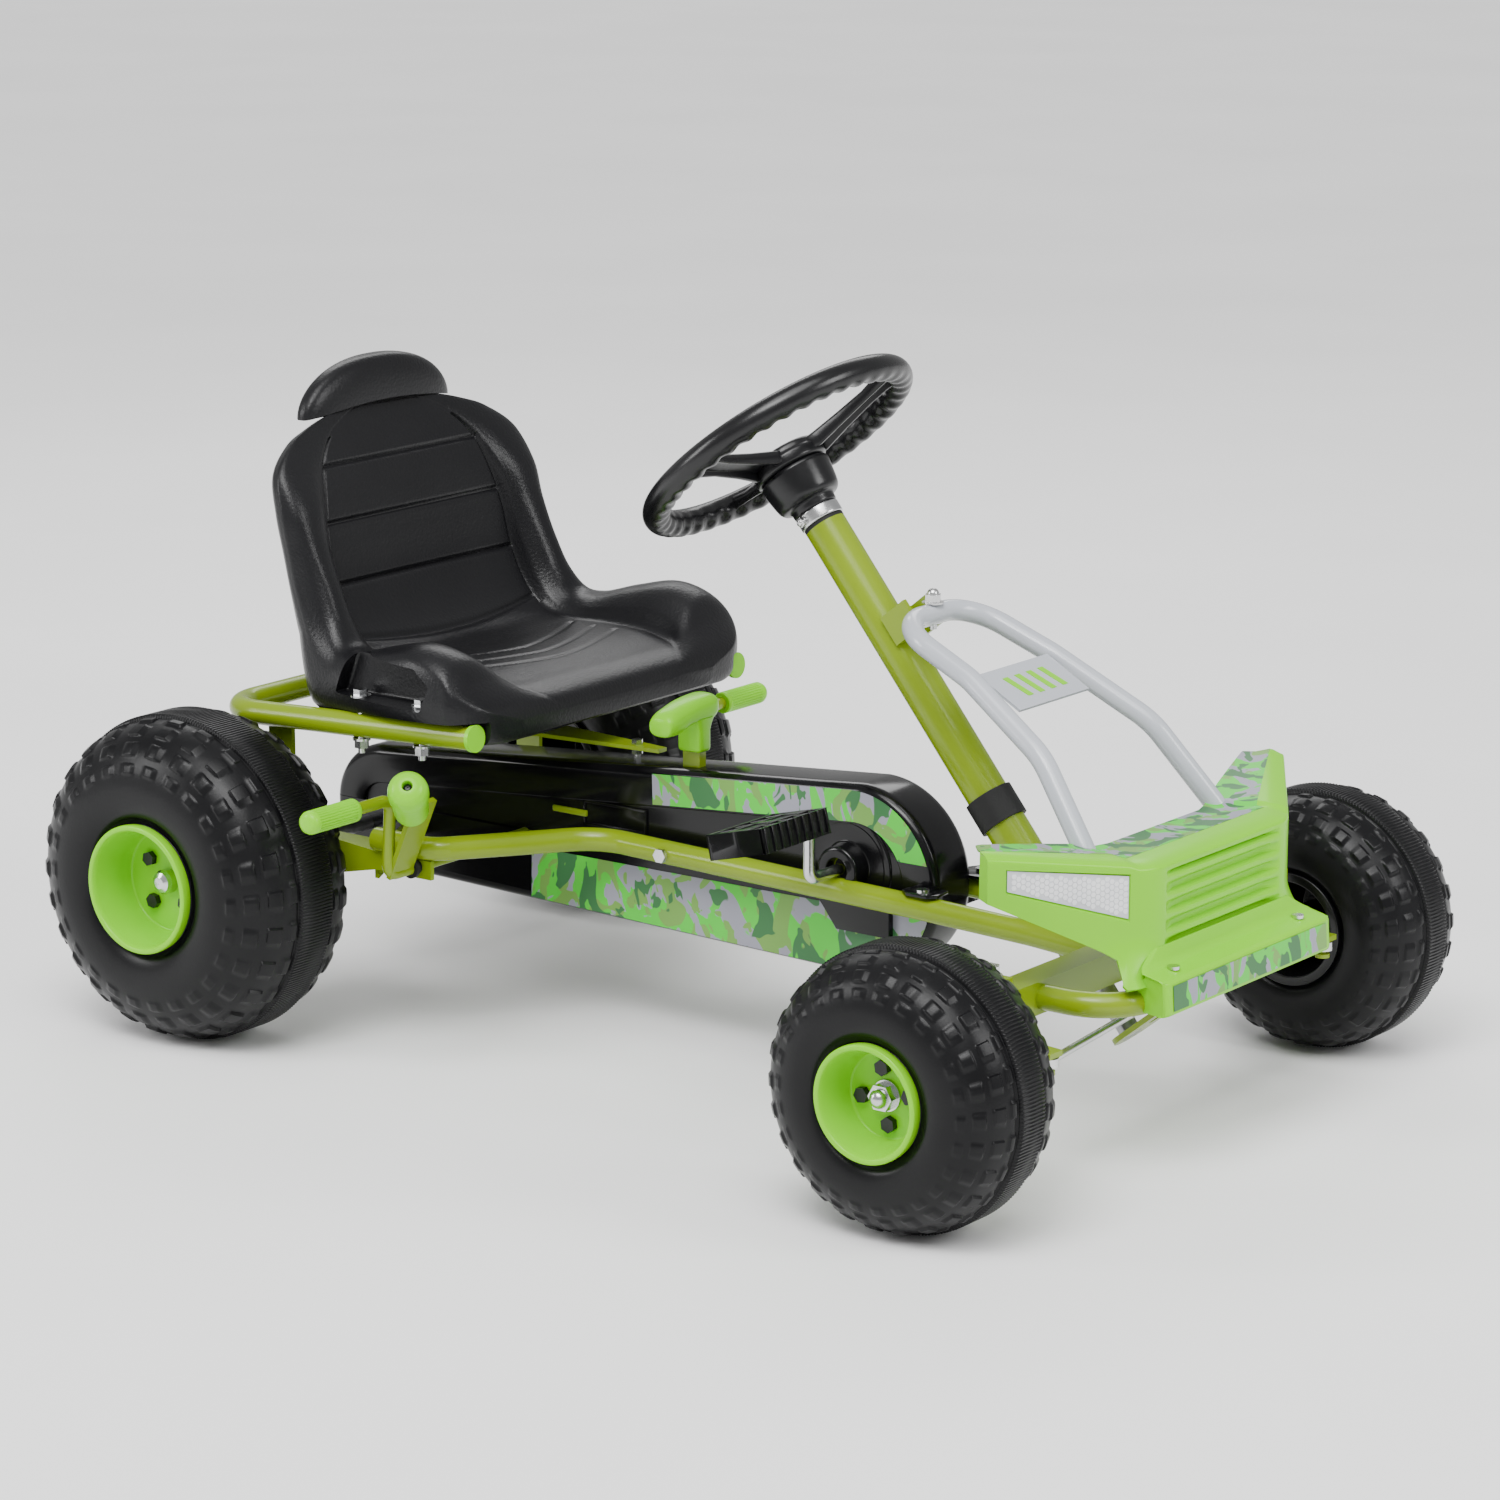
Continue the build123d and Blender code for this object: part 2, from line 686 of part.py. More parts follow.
# ---- bushes --------------------------------------------------------------------
with BuildPart() as frame_bushes:
    for s in SIDES.values():
        # crank, rear axle and brake shaft bushes
        cyl_y(CRANK_X, CRANK_Z, s * (CASE_HALF + 0.5), s * (CASE_HALF + 3.5), 8)
        cyl_y(CRANK_X, CRANK_Z, s * CASE_HALF, s * (CASE_HALF + 4), CRANK_ROD_R + RUNNING, mode=Mode.SUBTRACT)
        cyl_y(REAR_X, REAR_R, s * BRACKET_Y[0], s * BRACKET_Y[1], 9.5)
        cyl_y(REAR_X, REAR_R, s * 140, s * 160, AXLE_R + RUNNING, mode=Mode.SUBTRACT)
        cyl_y(BRAKE_X, BRAKE_Z, s * BRACKET_Y[1], s * 157, 5.6)
        cyl_y(BRAKE_X, BRAKE_Z, s * 157, s * 160.6, 7.8)
        cyl_y(BRAKE_X, BRAKE_Z, s * 145, s * 162, BRAKE_ROD_R + RUNNING, mode=Mode.SUBTRACT)
    # the steering column's upper and lower bushes, the upper one with a flange
    for start, depth, outer in (
        (-2.5, 2.5, COLUMN_R),
        (0, BUSH_LENGTH, COLUMN_R - TUBE_WALL),
        (COLUMN_LENGTH - BUSH_LENGTH, BUSH_LENGTH, COLUMN_R - TUBE_WALL),
    ):
        with BuildSketch(column_plane(start)):
            Circle(outer)
            Circle(SHAFT_R + RUNNING, mode=Mode.SUBTRACT)
        extrude(amount=-depth)
save(frame_bushes, "frame_bushes")

# ---- steering ------------------------------------------------------------------
COLLAR = (-2.8, -13.0)
BOSS = (-13.0, -47.0)
HUB_TOP = -64.0

with BuildPart() as steering_collar:
    with BuildSketch(column_plane(COLLAR[0])):
        Circle(COLUMN_R + 1)
        Circle(SHAFT_R, mode=Mode.SUBTRACT)
    extrude(amount=COLLAR[0] - COLLAR[1])
    clamp_plane = column_plane((COLLAR[0] + COLLAR[1]) / 2)
    outward = clamp_plane.location * Rot(0, 0, -100) * Rot(0, 90, 0) * Pos(0, 0, COLUMN_R + 2.5)
    add(outward * Cylinder(4.4, 6, mode=Mode.PRIVATE))
save(steering_collar, "steering_collar")


def spun_on_column(points):
    """A closed outline of (radius, distance down the column) pairs, spun round the column."""
    with BuildPart() as body:
        with BuildSketch(Plane.XZ):
            with BuildLine():
                Polyline(*[(r, -d) for r, d in points], close=True)
            make_face()
        revolve(axis=Axis.Z)
    return column_plane(0) * body.part


with BuildPart() as steering_boss:
    add(
        spun_on_column(
            [
                (SHAFT_R, BOSS[0]),
                (17.5, BOSS[0]),
                (17.5, -19),
                (22.5, -20),
                (24.5, -24),
                (28.5, BOSS[1]),
                (SHAFT_R, BOSS[1]),
            ]
        )
    )
save(steering_boss, "steering_boss")

SPOKE_ANGLES = (30, 150, 270)
with BuildPart() as steering_wheel:
    ring_plane = column_plane(-WHEEL_RISE)
    add(ring_plane.location * Torus(WHEEL_RING_R, WHEEL_RIM_R, mode=Mode.PRIVATE))
    add(spun_on_column([(SHAFT_R, BOSS[1]), (28, BOSS[1]), (26, HUB_TOP), (0, HUB_TOP), (0, -60), (SHAFT_R, -60)]))
    for angle in SPOKE_ANGLES:
        with BuildPart(mode=Mode.PRIVATE) as spoke:
            with BuildSketch(Plane.XZ.offset(-12)):
                with BuildLine():
                    Polyline((20, -16), (98, -5), (98, 3), (20, -7), close=True)
                make_face()
            extrude(amount=24)
        add(ring_plane.location * Rot(0, 0, angle) * spoke.part)
save(steering_wheel, "steering_wheel")

with BuildPart() as steering_shaft:
    with BuildSketch(column_plane(-60)):
        Circle(SHAFT_R)
    extrude(amount=-(PITMAN_AT + 2 + 60))
save(steering_shaft, "steering_shaft")

PIN_R = 2.8
with BuildPart() as pitman_arm:
    with BuildSketch(column_plane(PITMAN_AT - 2)):
        Circle(15)
        with Locations((PITMAN_R, TIE_Y), (PITMAN_R, -TIE_Y)):
            Circle(7)
        make_hull()
        Circle(SHAFT_R, mode=Mode.SUBTRACT)
        with Locations((26, 0)):
            SlotOverall(14, 7, mode=Mode.SUBTRACT)
    extrude(amount=-4)
    for start, length, radius in ((PITMAN_AT - 2, 12, PIN_R), (PITMAN_AT - 13.2, 2, 5)):
        with BuildSketch(column_plane(start)):
            with Locations((PITMAN_R, TIE_Y), (PITMAN_R, -TIE_Y)):
                Circle(radius)
        extrude(amount=length)
save(pitman_arm, "pitman_arm")

WEB_Y = (196.0, 200.0)
PLATE = 4.0
ARM_PIN = (FRONT_X + KNUCKLE_ARM, KINGPIN_Y + 5)
SPINDLE_END = 312.0
for side, s in SIDES.items():
    with BuildPart() as knuckle:
        block(FRONT_X - 12, FRONT_X + 12, s * WEB_Y[0], s * WEB_Y[1], 88, 156)
        block(FRONT_X - 12, FRONT_X + 12, s * 170, s * WEB_Y[0], 152, 156)
        with BuildSketch(Plane.XY.offset(110)):
            with BuildLine():
                Polyline(
                    (FRONT_X - 12, s * 170),
                    (FRONT_X + 12, s * 170),
                    (ARM_PIN[0] + 7, s * (ARM_PIN[1] - 8)),
                    (ARM_PIN[0] + 7, s * (ARM_PIN[1] + 8)),
                    (FRONT_X + 12, s * WEB_Y[0]),
                    (FRONT_X - 12, s * WEB_Y[0]),
                    close=True,
                )
            make_face()
        extrude(amount=PLATE)
        cyl_z(FRONT_X, s * KINGPIN_Y, 105, 160, 4 + RUNNING, mode=Mode.SUBTRACT)
        cyl_y(FRONT_X, FRONT_R, s * WEB_Y[1], s * SPINDLE_END, AXLE_R)
        cyl_z(ARM_PIN[0], s * ARM_PIN[1], 97, 110, 3.0)
        cyl_z(ARM_PIN[0], s * ARM_PIN[1], 97, 100, 5.5)
        # the nut that keeps the wheel on, with its washer and domed end
        cyl_y(FRONT_X, FRONT_R, s * (FRONT_DISC[0] + 0.4), s * (FRONT_DISC[0] + 2), 11)
        hex_y(FRONT_X, FRONT_R, s * (FRONT_DISC[0] + 2), s * (FRONT_DISC[0] + 10), 17)
        with Locations((FRONT_X, s * (FRONT_DISC[0] + 10), FRONT_R)):
            Sphere(7)
    save(knuckle, f"knuckle_{side}")

    with BuildPart() as tie_rod:
        pin_plane = column_plane(PITMAN_AT - 9.2)
        eye = pin_plane.from_local_coords((PITMAN_R, s * TIE_Y, 0)) + Vector(0, 0, -2.1)
        eye_plane = Plane(origin=eye, x_dir=column_plane(0).x_dir, z_dir=column_plane(0).z_dir)
        outer_eye = Vector(ARM_PIN[0], s * ARM_PIN[1], 106.2)
        start = eye + Vector(0, s * 6, 0)
        end = outer_eye + Vector(0, -s * 6, 0)
        run = end - start
        with BuildSketch(Plane(origin=start, z_dir=run)):
            Circle(3.0)
        extrude(amount=run.length)
        with BuildSketch(eye_plane.offset(-2)):
            Circle(7.8)
        extrude(amount=4)
        cyl_z(ARM_PIN[0], s * ARM_PIN[1], 103, 109.4, 8)
        with BuildSketch(eye_plane.offset(-6)):
            Circle(5.3)
        extrude(amount=12, mode=Mode.SUBTRACT)
        cyl_z(ARM_PIN[0], s * ARM_PIN[1], 100, 112, 3.0 + RUNNING, mode=Mode.SUBTRACT)
    save(tie_rod, f"tie_rod_{side}")

with BuildPart() as kingpin_bolts:
    for s in SIDES.values():
        cyl_z(FRONT_X, s * KINGPIN_Y, 101, 164, 4)
        cyl_z(FRONT_X, s * KINGPIN_Y, 156.4, 158.4, 9)
        hex_z(FRONT_X, s * KINGPIN_Y, 158.4, 165, 13)
        hex_z(FRONT_X, s * KINGPIN_Y, 103, 109.6, 13)
save(kingpin_bolts, "kingpin_bolts")

# ---- crank and pedals ----------------------------------------------------------
PEDAL_DROP = 1.0
with BuildPart() as crank:
    up = CRANK_Z + CRANK_THROW
    down = CRANK_Z - CRANK_THROW
    add(
        bent_rod(
            [
                (CRANK_X, -PEDAL_Y[1] + 4, up),
                (CRANK_X, -CRANK_ARM_Y, up),
                (CRANK_X, -CRANK_ARM_Y, CRANK_Z),
                (CRANK_X, CRANK_ARM_Y, CRANK_Z),
                (CRANK_X, CRANK_ARM_Y, down),
                (CRANK_X, PEDAL_Y[1] - 4, down),
            ],
            [7.5, 7.5, 7.5, 7.5],
            CRANK_ROD_R,
        )
    )
save(crank, "crank")

PEDAL_LENGTH = 52.0
PEDAL_THICK = 20.0
for side, s, height, tilt in (("right", -1, CRANK_Z + CRANK_THROW, 14), ("left", 1, CRANK_Z - CRANK_THROW, 14)):
    with BuildPart() as pedal:
        with Locations(Location((0, 0, -PEDAL_DROP))):
            Box(PEDAL_LENGTH, PEDAL_Y[1] - PEDAL_Y[0], PEDAL_THICK)
        fillet(pedal.edges().filter_by(Axis.Y), 4)
        with Locations((0, -s * 3, 0)):
            Cylinder(
                CRANK_ROD_R + RUNNING,
                PEDAL_Y[1] - PEDAL_Y[0],
                rotation=(90, 0, 0),
                mode=Mode.SUBTRACT,
            )
    centre = s * (PEDAL_Y[0] + PEDAL_Y[1]) / 2
    placed = Pos(CRANK_X, centre, height) * Rot(0, -tilt, 0) * pedal.part
    with BuildPart() as pedal_placed:
        add(placed)
    save(pedal_placed, f"pedal_{side}")

# ---- brake ---------------------------------------------------------------------
STRAP_Y = (-186.0, -161.0)
SLEEVE_R = 9.0
KNOB_AT = (-154.0, -187.0, 197.0)
KNOB_AXIS = (0.48, -0.64, 0.60)

with BuildPart() as lever_strap:
    with BuildSketch(side_plane(STRAP_Y[1])):
        with BuildLine():
            Polyline((-181.5, 141), (-178, 139.5), (-151, 201), (-155, 203), close=True)
        make_face()
    extrude(amount=STRAP_Y[1] - STRAP_Y[0])

with BuildPart() as brake_bar:
    arms = [
        (BRAKE_TOP[0], BRAKE_SLEEVE_Y[1] - 2, BRAKE_TOP[1]),
        (BRAKE_TOP[0], BRAKE_ARM_Y, BRAKE_TOP[1]),
        (BRAKE_X, BRAKE_ARM_Y, BRAKE_Z),
    ]
    add(
        bent_rod(
            [(x, -y, z) for x, y, z in arms] + list(reversed(arms)),
            [10, 10, 10, 10],
            BRAKE_ROD_R,
        )
    )
    add(lever_strap.part)
save(brake_bar, "brake_bar")

with BuildPart() as brake_sleeves:
    for s in SIDES.values():
        cyl_y(*BRAKE_TOP, s * BRAKE_SLEEVE_Y[0], s * BRAKE_SLEEVE_Y[1], SLEEVE_R)
        cyl_y(*BRAKE_TOP, s * 220, s * (BRAKE_SLEEVE_Y[1] - 2), BRAKE_ROD_R, mode=Mode.SUBTRACT)
save(brake_sleeves, "brake_sleeves")

knob_outline = [
    (0, 0),
    (12, 0),
    (13, 2),
    (14, 18),
    (15.4, 32),
    (15.6, 39),
    (14.2, 44.5),
    (11, 48),
    (5, 50),
    (4, 50),
    (4, 42),
    (0, 42),
]
with BuildPart() as knob:
    with BuildSketch(Plane.XZ):
        with BuildLine():
            Polyline(*knob_outline, close=True)
        make_face()
    revolve(axis=Axis.Z)
with BuildPart() as brake_knob:
    add(Plane(origin=KNOB_AT, z_dir=KNOB_AXIS) * knob.part)
    add(lever_strap.part, mode=Mode.SUBTRACT)
save(brake_knob, "brake_knob")

# ---- shift lever ---------------------------------------------------------------
LEVER_TOP = 252.0
with BuildPart() as shift_lever:
    block(LEVER_X - 8, LEVER_X + 8, LEVER_Y - 4, LEVER_Y + 4, LEVER_Z, LEVER_TOP)
    cyl_y(LEVER_X, LEVER_Z, LEVER_Y - 4, LEVER_Y + 4, 8)
    cyl_y(LEVER_X, LEVER_Z, -20.5, LEVER_Y - 4, 3.0)
save(shift_lever, "shift_lever")

with BuildPart() as shift_handle:
    # sleeve over the bar, and the head across it
    block(LEVER_X - 11, LEVER_X + 11, LEVER_Y - 8, LEVER_Y + 8, 230, 252)
    block(LEVER_X - 8, LEVER_X + 8, LEVER_Y - 4, LEVER_Y + 4, 200, LEVER_TOP, mode=Mode.SUBTRACT)
    with BuildSketch(front_plane(LEVER_X - 13)):
        with BuildLine():
            Polyline(
                (12, 273),
                (-48, 266),
                (-57, 258),
                (-58, 246),
                (-52, 243),
                (-40, 250),
                (-16, 252),
                (0, 252),
                (12, 262),
                close=True,
            )
        make_face()
    extrude(amount=26)
save(shift_handle, "shift_handle")

# ---- seat ----------------------------------------------------------------------
SEAT_WALL = 3.0
POCKET_Z = 272.0
SEAT_BOLT_X = (-225.0, -164.0)
PAN_HALF = 178.0
BACK_HALF = 149.0
# down the middle of the seat from the front edge to the top of the back: where the surface is
# (x, z), how far its normal leans back from upright, half width of the middle panel, bolster
# height, half width overall, and thickness
SEAT_STATIONS = [
    (-101, 262, 0, 60, 1, 118, 12),
    (-106, 272, 0, 80, 3, 152, 25),
    (-121, 279, 0, 96, 13, 174, 32),
    (-137, 281, 0, 106, 28, PAN_HALF, 28),
    (-166, 286, 0, 110, 32, PAN_HALF, 33),
    (-200, 287, 0, 110, 25, 174, 35),
    (-237, 287, 6, 108, 16, 166, 38),
    (-262, 292, 34, 107, 16, 158, 46),
    (-283, 311, 60, 107, 20, 152, 40),
    (-298, 340, 75, 107, 21, BACK_HALF, 32),
    (-306, 372, 77, 106, 15, BACK_HALF, 31),
    (-313, 402, 75, 100, 12, BACK_HALF, 31),
    (-323, 431, 71, 90, 5, 141, 31),
    (-333, 452, 67, 70, 2, 112, 29),
    (-337, 460, 66, 50, 1, 88, 27),
]


def seat_section(station, wall=0.0):
    """One closed section of the seat, square to its middle line."""
    x, z, lean, panel, rise, half, depth = station
    a = radians(lean)
    plane = Plane(origin=(x, 0, z), x_dir=(0, 1, 0), z_dir=(cos(a), 0, -sin(a)))
    top = half - 0.3 * (half - panel)
    # the pan's sides are deep, the back's edges are thin and run in towards its middle
    back = min(max((lean - 34) / 30, 0), 1)
    edge = [low + back * (high - low) for low, high in ((0.55, 0.22), (5, 6), (0.82, 0.5), (14, 46))]
    outline = [
        (0, -wall),
        (panel + wall, -wall),
        (panel + 0.35 * (top - panel) + wall, 0.8 * rise - wall),
        (top, rise - wall),
        (half - 5 - wall, 0.84 * rise - wall),
        (half - wall, 0.3 * rise - wall),
        (half - wall, -edge[0] * depth),
        (half - edge[1] - wall, -edge[2] * depth + wall * 0.5),
        (half - edge[3] - wall, -depth + wall),
    ]
    return plane, outline + [(-y, h) for y, h in reversed(outline[1:])]


def seat_body(wall=0.0):
    """The seat as a closed body lofted through its sections."""
    with BuildPart() as body:
        stations = SEAT_STATIONS
        if wall:
            stations = SEAT_STATIONS[1:-1]
        for station in stations:
            plane, outline = seat_section(station, wall)
            with BuildSketch(plane):
                with BuildLine():
                    Polyline(*outline, close=True)
                make_face()
        loft(ruled=True)
    return body.part


with BuildPart() as seat_shell:
    add(seat_body())
    add(seat_body(SEAT_WALL), mode=Mode.SUBTRACT)
    for s in SIDES.values():
        # channel for the rail, side pocket, and the bolt holes through its floor
        with BuildSketch(side_plane(s * 150.6 if s < 0 else 185)):
            with BuildLine():
                Polyline(
                    (-360, 236),
                    (-60, 236),
                    (-60, rail_z(-60) + RAIL_R + 2),
                    (-117, rail_z(-117) + RAIL_R + 2),
                    (-117, rail_z(-117) + RAIL_R + 0.02),
                    (-360, rail_z(-360) + RAIL_R + 0.02),
                    close=True,
                )
            make_face()
        extrude(amount=34.4, mode=Mode.SUBTRACT)
        with BuildSketch(side_plane(s * 147 if s < 0 else 190)):
            with BuildLine():
                Polyline((-250, POCKET_Z), (-150, POCKET_Z), (-126, 308), (-238, 308), close=True)
            make_face()
        extrude(amount=43, mode=Mode.SUBTRACT)
        for x in SEAT_BOLT_X:
            cyl_z(x, s * RAIL_Y, 240, 290, 3, mode=Mode.SUBTRACT)
save(seat_shell, "seat_shell")

HEADREST = [(0, 460.6), (87, 460.6), (86, 476), (74, 494), (48, 503), (0, 506)]
with BuildPart() as seat_headrest:
    with BuildSketch(Plane.XY.offset(460.6)):
        with Locations((-350, 0)):
            RectangleRounded(34, 176, 12)
    extrude(amount=60, taper=4)
    with BuildSketch(front_plane(-400)):
        with BuildLine():
            Polyline(*mirrored(HEADREST), close=True)
        make_face()
    extrude(amount=100, mode=Mode.INTERSECT)
    with BuildSketch(Plane.XY.offset(460.6)):
        with Locations((-350, 0)):
            RectangleRounded(28, 168, 9)
    extrude(amount=24, taper=12, mode=Mode.SUBTRACT)
save(seat_headrest, "seat_headrest")

RAIL_REAR_X = -372.0
with BuildPart() as seat_rail:
    ends = [(RAIL_FRONT_X, RAIL_Y, RAIL_FRONT_Z), (RAIL_REAR_X, RAIL_Y, rail_z(RAIL_REAR_X))]
    add(
        bent_rod(
            [(x, -y, z) for x, y, z in ends] + list(reversed(ends)),
            [40, 40],
            RAIL_R,
            RAIL_R - TUBE_WALL,
        )
    )
    for s in SIDES.values():
        for x in SEAT_BOLT_X:
            cyl_z(x, s * RAIL_Y, 230, 270, 3, mode=Mode.SUBTRACT)
save(seat_rail, "seat_rail")

with BuildPart() as rail_caps:
    for s in SIDES.values():
        end_plane = Plane(origin=(RAIL_FRONT_X, s * RAIL_Y, RAIL_FRONT_Z), z_dir=(1, 0, RAIL_SLOPE))
        with BuildSketch(end_plane):
            Circle(RAIL_R + 1)
        extrude(amount=3.5)
        with BuildSketch(end_plane):
            Circle(RAIL_R - TUBE_WALL)
        extrude(amount=-12)
save(rail_caps, "rail_caps")

with BuildPart() as seat_bolts:
    for s in SIDES.values():
        for x in SEAT_BOLT_X:
            under = rail_z(x) - RAIL_R
            cyl_z(x, s * RAIL_Y, under - 12, POCKET_Z + 4, 3)
            cyl_z(x, s * RAIL_Y, POCKET_Z, POCKET_Z + 1.5, 8)
            hex_z(x, s * RAIL_Y, POCKET_Z + 1.5, POCKET_Z + 6, 10)
            cyl_z(x, s * RAIL_Y, under - 2, under - 0.4, 7)
            hex_z(x, s * RAIL_Y, under - 8, under - 2, 10)
save(seat_bolts, "seat_bolts")

with BuildPart() as seat_bracket:
    # strap from under the rail's rear crossing forward to the top of the chain case
    with BuildSketch(side_plane(30)):
        with BuildLine():
            Polyline(
                (-384, 230.2),
                (-352, 231.6),
                (-215, 221),
                (-60, 221),
                (-60, 224),
                (-214, 224),
                (-351, 234.6),
                (-362, 233.2),
                (-384, 233.2),
                close=True,
            )
        make_face()
    extrude(amount=60)
    with BuildSketch(Plane.XY.offset(200)):
        with BuildLine():
            Polyline((-390, 20), (-200, 20), (-60, 5), (-60, -5), (-200, -20), (-390, -20), close=True)
        make_face()
    extrude(amount=60, mode=Mode.INTERSECT)
    cyl_z(BRACKET_BOLT_X, 0, 200, 240, 2.5, mode=Mode.SUBTRACT)
save(seat_bracket, "seat_bracket")

# ---- small screws --------------------------------------------------------------
with BuildPart() as cover_screws:
    # strap bolt, standing on the chain case
    cyl_z(BRACKET_BOLT_X, 0, 204, 226, 2.5)
    hex_z(BRACKET_BOLT_X, 0, 224, 228, 8)
    hex_z(BRACKET_BOLT_X, 0, 216.5, 221, 8)
    for s in SIDES.values():
        # bumper lip screws
        cyl_z(SCREW_X, s * SCREW_Y, 142, 156, 2.6)
        cyl_z(SCREW_X, s * SCREW_Y, 155.7, 158, 4.5)
        # case flange screws
        cyl_z(FLANGE_SCREW[0], s * FLANGE_SCREW[1], 152, 162, 2.6)
        cyl_z(FLANGE_SCREW[0], s * FLANGE_SCREW[1], 161.2, 164, 5)
save(cover_screws, "cover_screws")
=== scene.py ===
import math

import bmesh
import bpy
import numpy as np
from mathutils import Matrix, Vector


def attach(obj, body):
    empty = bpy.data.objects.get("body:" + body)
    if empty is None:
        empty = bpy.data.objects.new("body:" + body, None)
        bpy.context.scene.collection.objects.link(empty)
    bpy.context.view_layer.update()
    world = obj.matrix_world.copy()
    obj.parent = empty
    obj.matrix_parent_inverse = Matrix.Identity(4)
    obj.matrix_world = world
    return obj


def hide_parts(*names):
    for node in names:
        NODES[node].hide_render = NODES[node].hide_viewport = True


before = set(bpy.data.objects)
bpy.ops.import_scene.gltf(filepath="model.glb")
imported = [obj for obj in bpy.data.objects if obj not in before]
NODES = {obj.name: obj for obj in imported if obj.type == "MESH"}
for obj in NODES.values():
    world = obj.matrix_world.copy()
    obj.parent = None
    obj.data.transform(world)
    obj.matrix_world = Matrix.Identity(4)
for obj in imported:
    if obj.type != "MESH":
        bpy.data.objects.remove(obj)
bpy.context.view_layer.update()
MM = 0.001

REAR = (-342.0, 128.0)
FRONT = (368.0, 101.5)
COLUMN = (94.2, 416.3, math.radians(51.2))
SIDES = {"right": -1, "left": 1}
CRANK = (133, 0, 165.5)


# ---- materials ----
COAT_ROUGHNESS = 0.08
DRIFT_RANGE = (0.35, 0.68)
GRAIN_DEPTH = 0.0006
FILM_GRAIN_DEPTH = 0.0004
PATCH_SOFTNESS = 0.004


def material(name, low, high, rough, scale=6.0, bump=0.0, bump_scale=400.0, metal=0.0, coat=0.0,
             rough_spread=0.06, shine=0.5):
    """A procedural finish: colour and roughness drift between two values, over a fine bump."""
    mat = bpy.data.materials.new(name)
    mat.use_nodes = True
    tree = mat.node_tree
    shader = tree.nodes["Principled BSDF"]
    shader.inputs["Metallic"].default_value = metal
    shader.inputs["Specular IOR Level"].default_value = shine
    shader.inputs["Coat Weight"].default_value = coat
    shader.inputs["Coat Roughness"].default_value = COAT_ROUGHNESS
    where = tree.nodes.new("ShaderNodeTexCoord")
    space = where.outputs["Object"]
    drift = tree.nodes.new("ShaderNodeTexNoise")
    drift.inputs["Scale"].default_value = scale
    drift.inputs["Detail"].default_value = 5.0
    tree.links.new(space, drift.inputs["Vector"])
    ramp = tree.nodes.new("ShaderNodeValToRGB")
    ramp.color_ramp.elements[0].position = DRIFT_RANGE[0]
    ramp.color_ramp.elements[1].position = DRIFT_RANGE[1]
    ramp.color_ramp.elements[0].color = (*low, 1)
    ramp.color_ramp.elements[1].color = (*high, 1)
    tree.links.new(drift.outputs["Fac"], ramp.inputs["Fac"])
    tree.links.new(ramp.outputs["Color"], shader.inputs["Base Color"])
    spread = tree.nodes.new("ShaderNodeMapRange")
    spread.inputs["To Min"].default_value = rough - rough_spread
    spread.inputs["To Max"].default_value = rough + rough_spread
    tree.links.new(drift.outputs["Fac"], spread.inputs["Value"])
    tree.links.new(spread.outputs["Result"], shader.inputs["Roughness"])
    if bump:
        grain = tree.nodes.new("ShaderNodeTexNoise")
        grain.inputs["Scale"].default_value = bump_scale
        grain.inputs["Detail"].default_value = 3.0
        tree.links.new(space, grain.inputs["Vector"])
        relief = tree.nodes.new("ShaderNodeBump")
        relief.inputs["Strength"].default_value = bump
        relief.inputs["Distance"].default_value = GRAIN_DEPTH
        tree.links.new(grain.outputs["Fac"], relief.inputs["Height"])
        tree.links.new(relief.outputs["Normal"], shader.inputs["Normal"])
    return mat


OLIVE = material("olive_gloss_paint", (0.175, 0.262, 0.003), (0.200, 0.292, 0.005), 0.24, bump=0.05,
                 bump_scale=180, coat=0.08, shine=0.35)
LIME = material("lime_plastic", (0.190, 0.58, 0.001), (0.210, 0.62, 0.002), 0.30, bump=0.04, bump_scale=260,
                coat=0.04, shine=0.2)
GLOSS = material("glossy_black_plastic", (0.0025, 0.0025, 0.003), (0.005, 0.005, 0.0055), 0.16, bump=0.03,
                 bump_scale=120, coat=0.08, shine=0.26)
SATIN = material("pebbled_black_plastic", (0.004, 0.004, 0.005), (0.007, 0.007, 0.008), 0.33, bump=0.5,
                 bump_scale=420, shine=0.28)
WHEELBLACK = material("moulded_black_plastic", (0.0035, 0.0035, 0.004), (0.006, 0.006, 0.007), 0.27,
                      bump=0.10, bump_scale=300, shine=0.4)
TYRE = material("tyre_black_plastic", (0.0030, 0.0030, 0.0036), (0.0060, 0.0060, 0.0066), 0.33, scale=14,
                bump=0.12, bump_scale=500, shine=0.20)
GREY = material("light_grey_paint", (0.42, 0.44, 0.48), (0.46, 0.48, 0.52), 0.24, bump=0.03, bump_scale=200,
                coat=0.4)
ZINC = material("zinc_plate", (0.56, 0.57, 0.58), (0.70, 0.70, 0.69), 0.24, scale=40, bump=0.04,
                bump_scale=500, metal=1.0, rough_spread=0.05)
STEEL = material("plain_steel", (0.30, 0.30, 0.31), (0.42, 0.42, 0.43), 0.36, scale=60, bump=0.08,
                 bump_scale=500, metal=1.0, rough_spread=0.08)
BLACKSTEEL = material("blackened_steel", (0.005, 0.005, 0.006), (0.012, 0.012, 0.012), 0.34, scale=120,
                      bump=0.2, bump_scale=700, shine=0.4)
RUBBER = material("black_rubber", (0.005, 0.005, 0.005), (0.010, 0.010, 0.010), 0.62, bump=0.25,
                  bump_scale=600, shine=0.35)


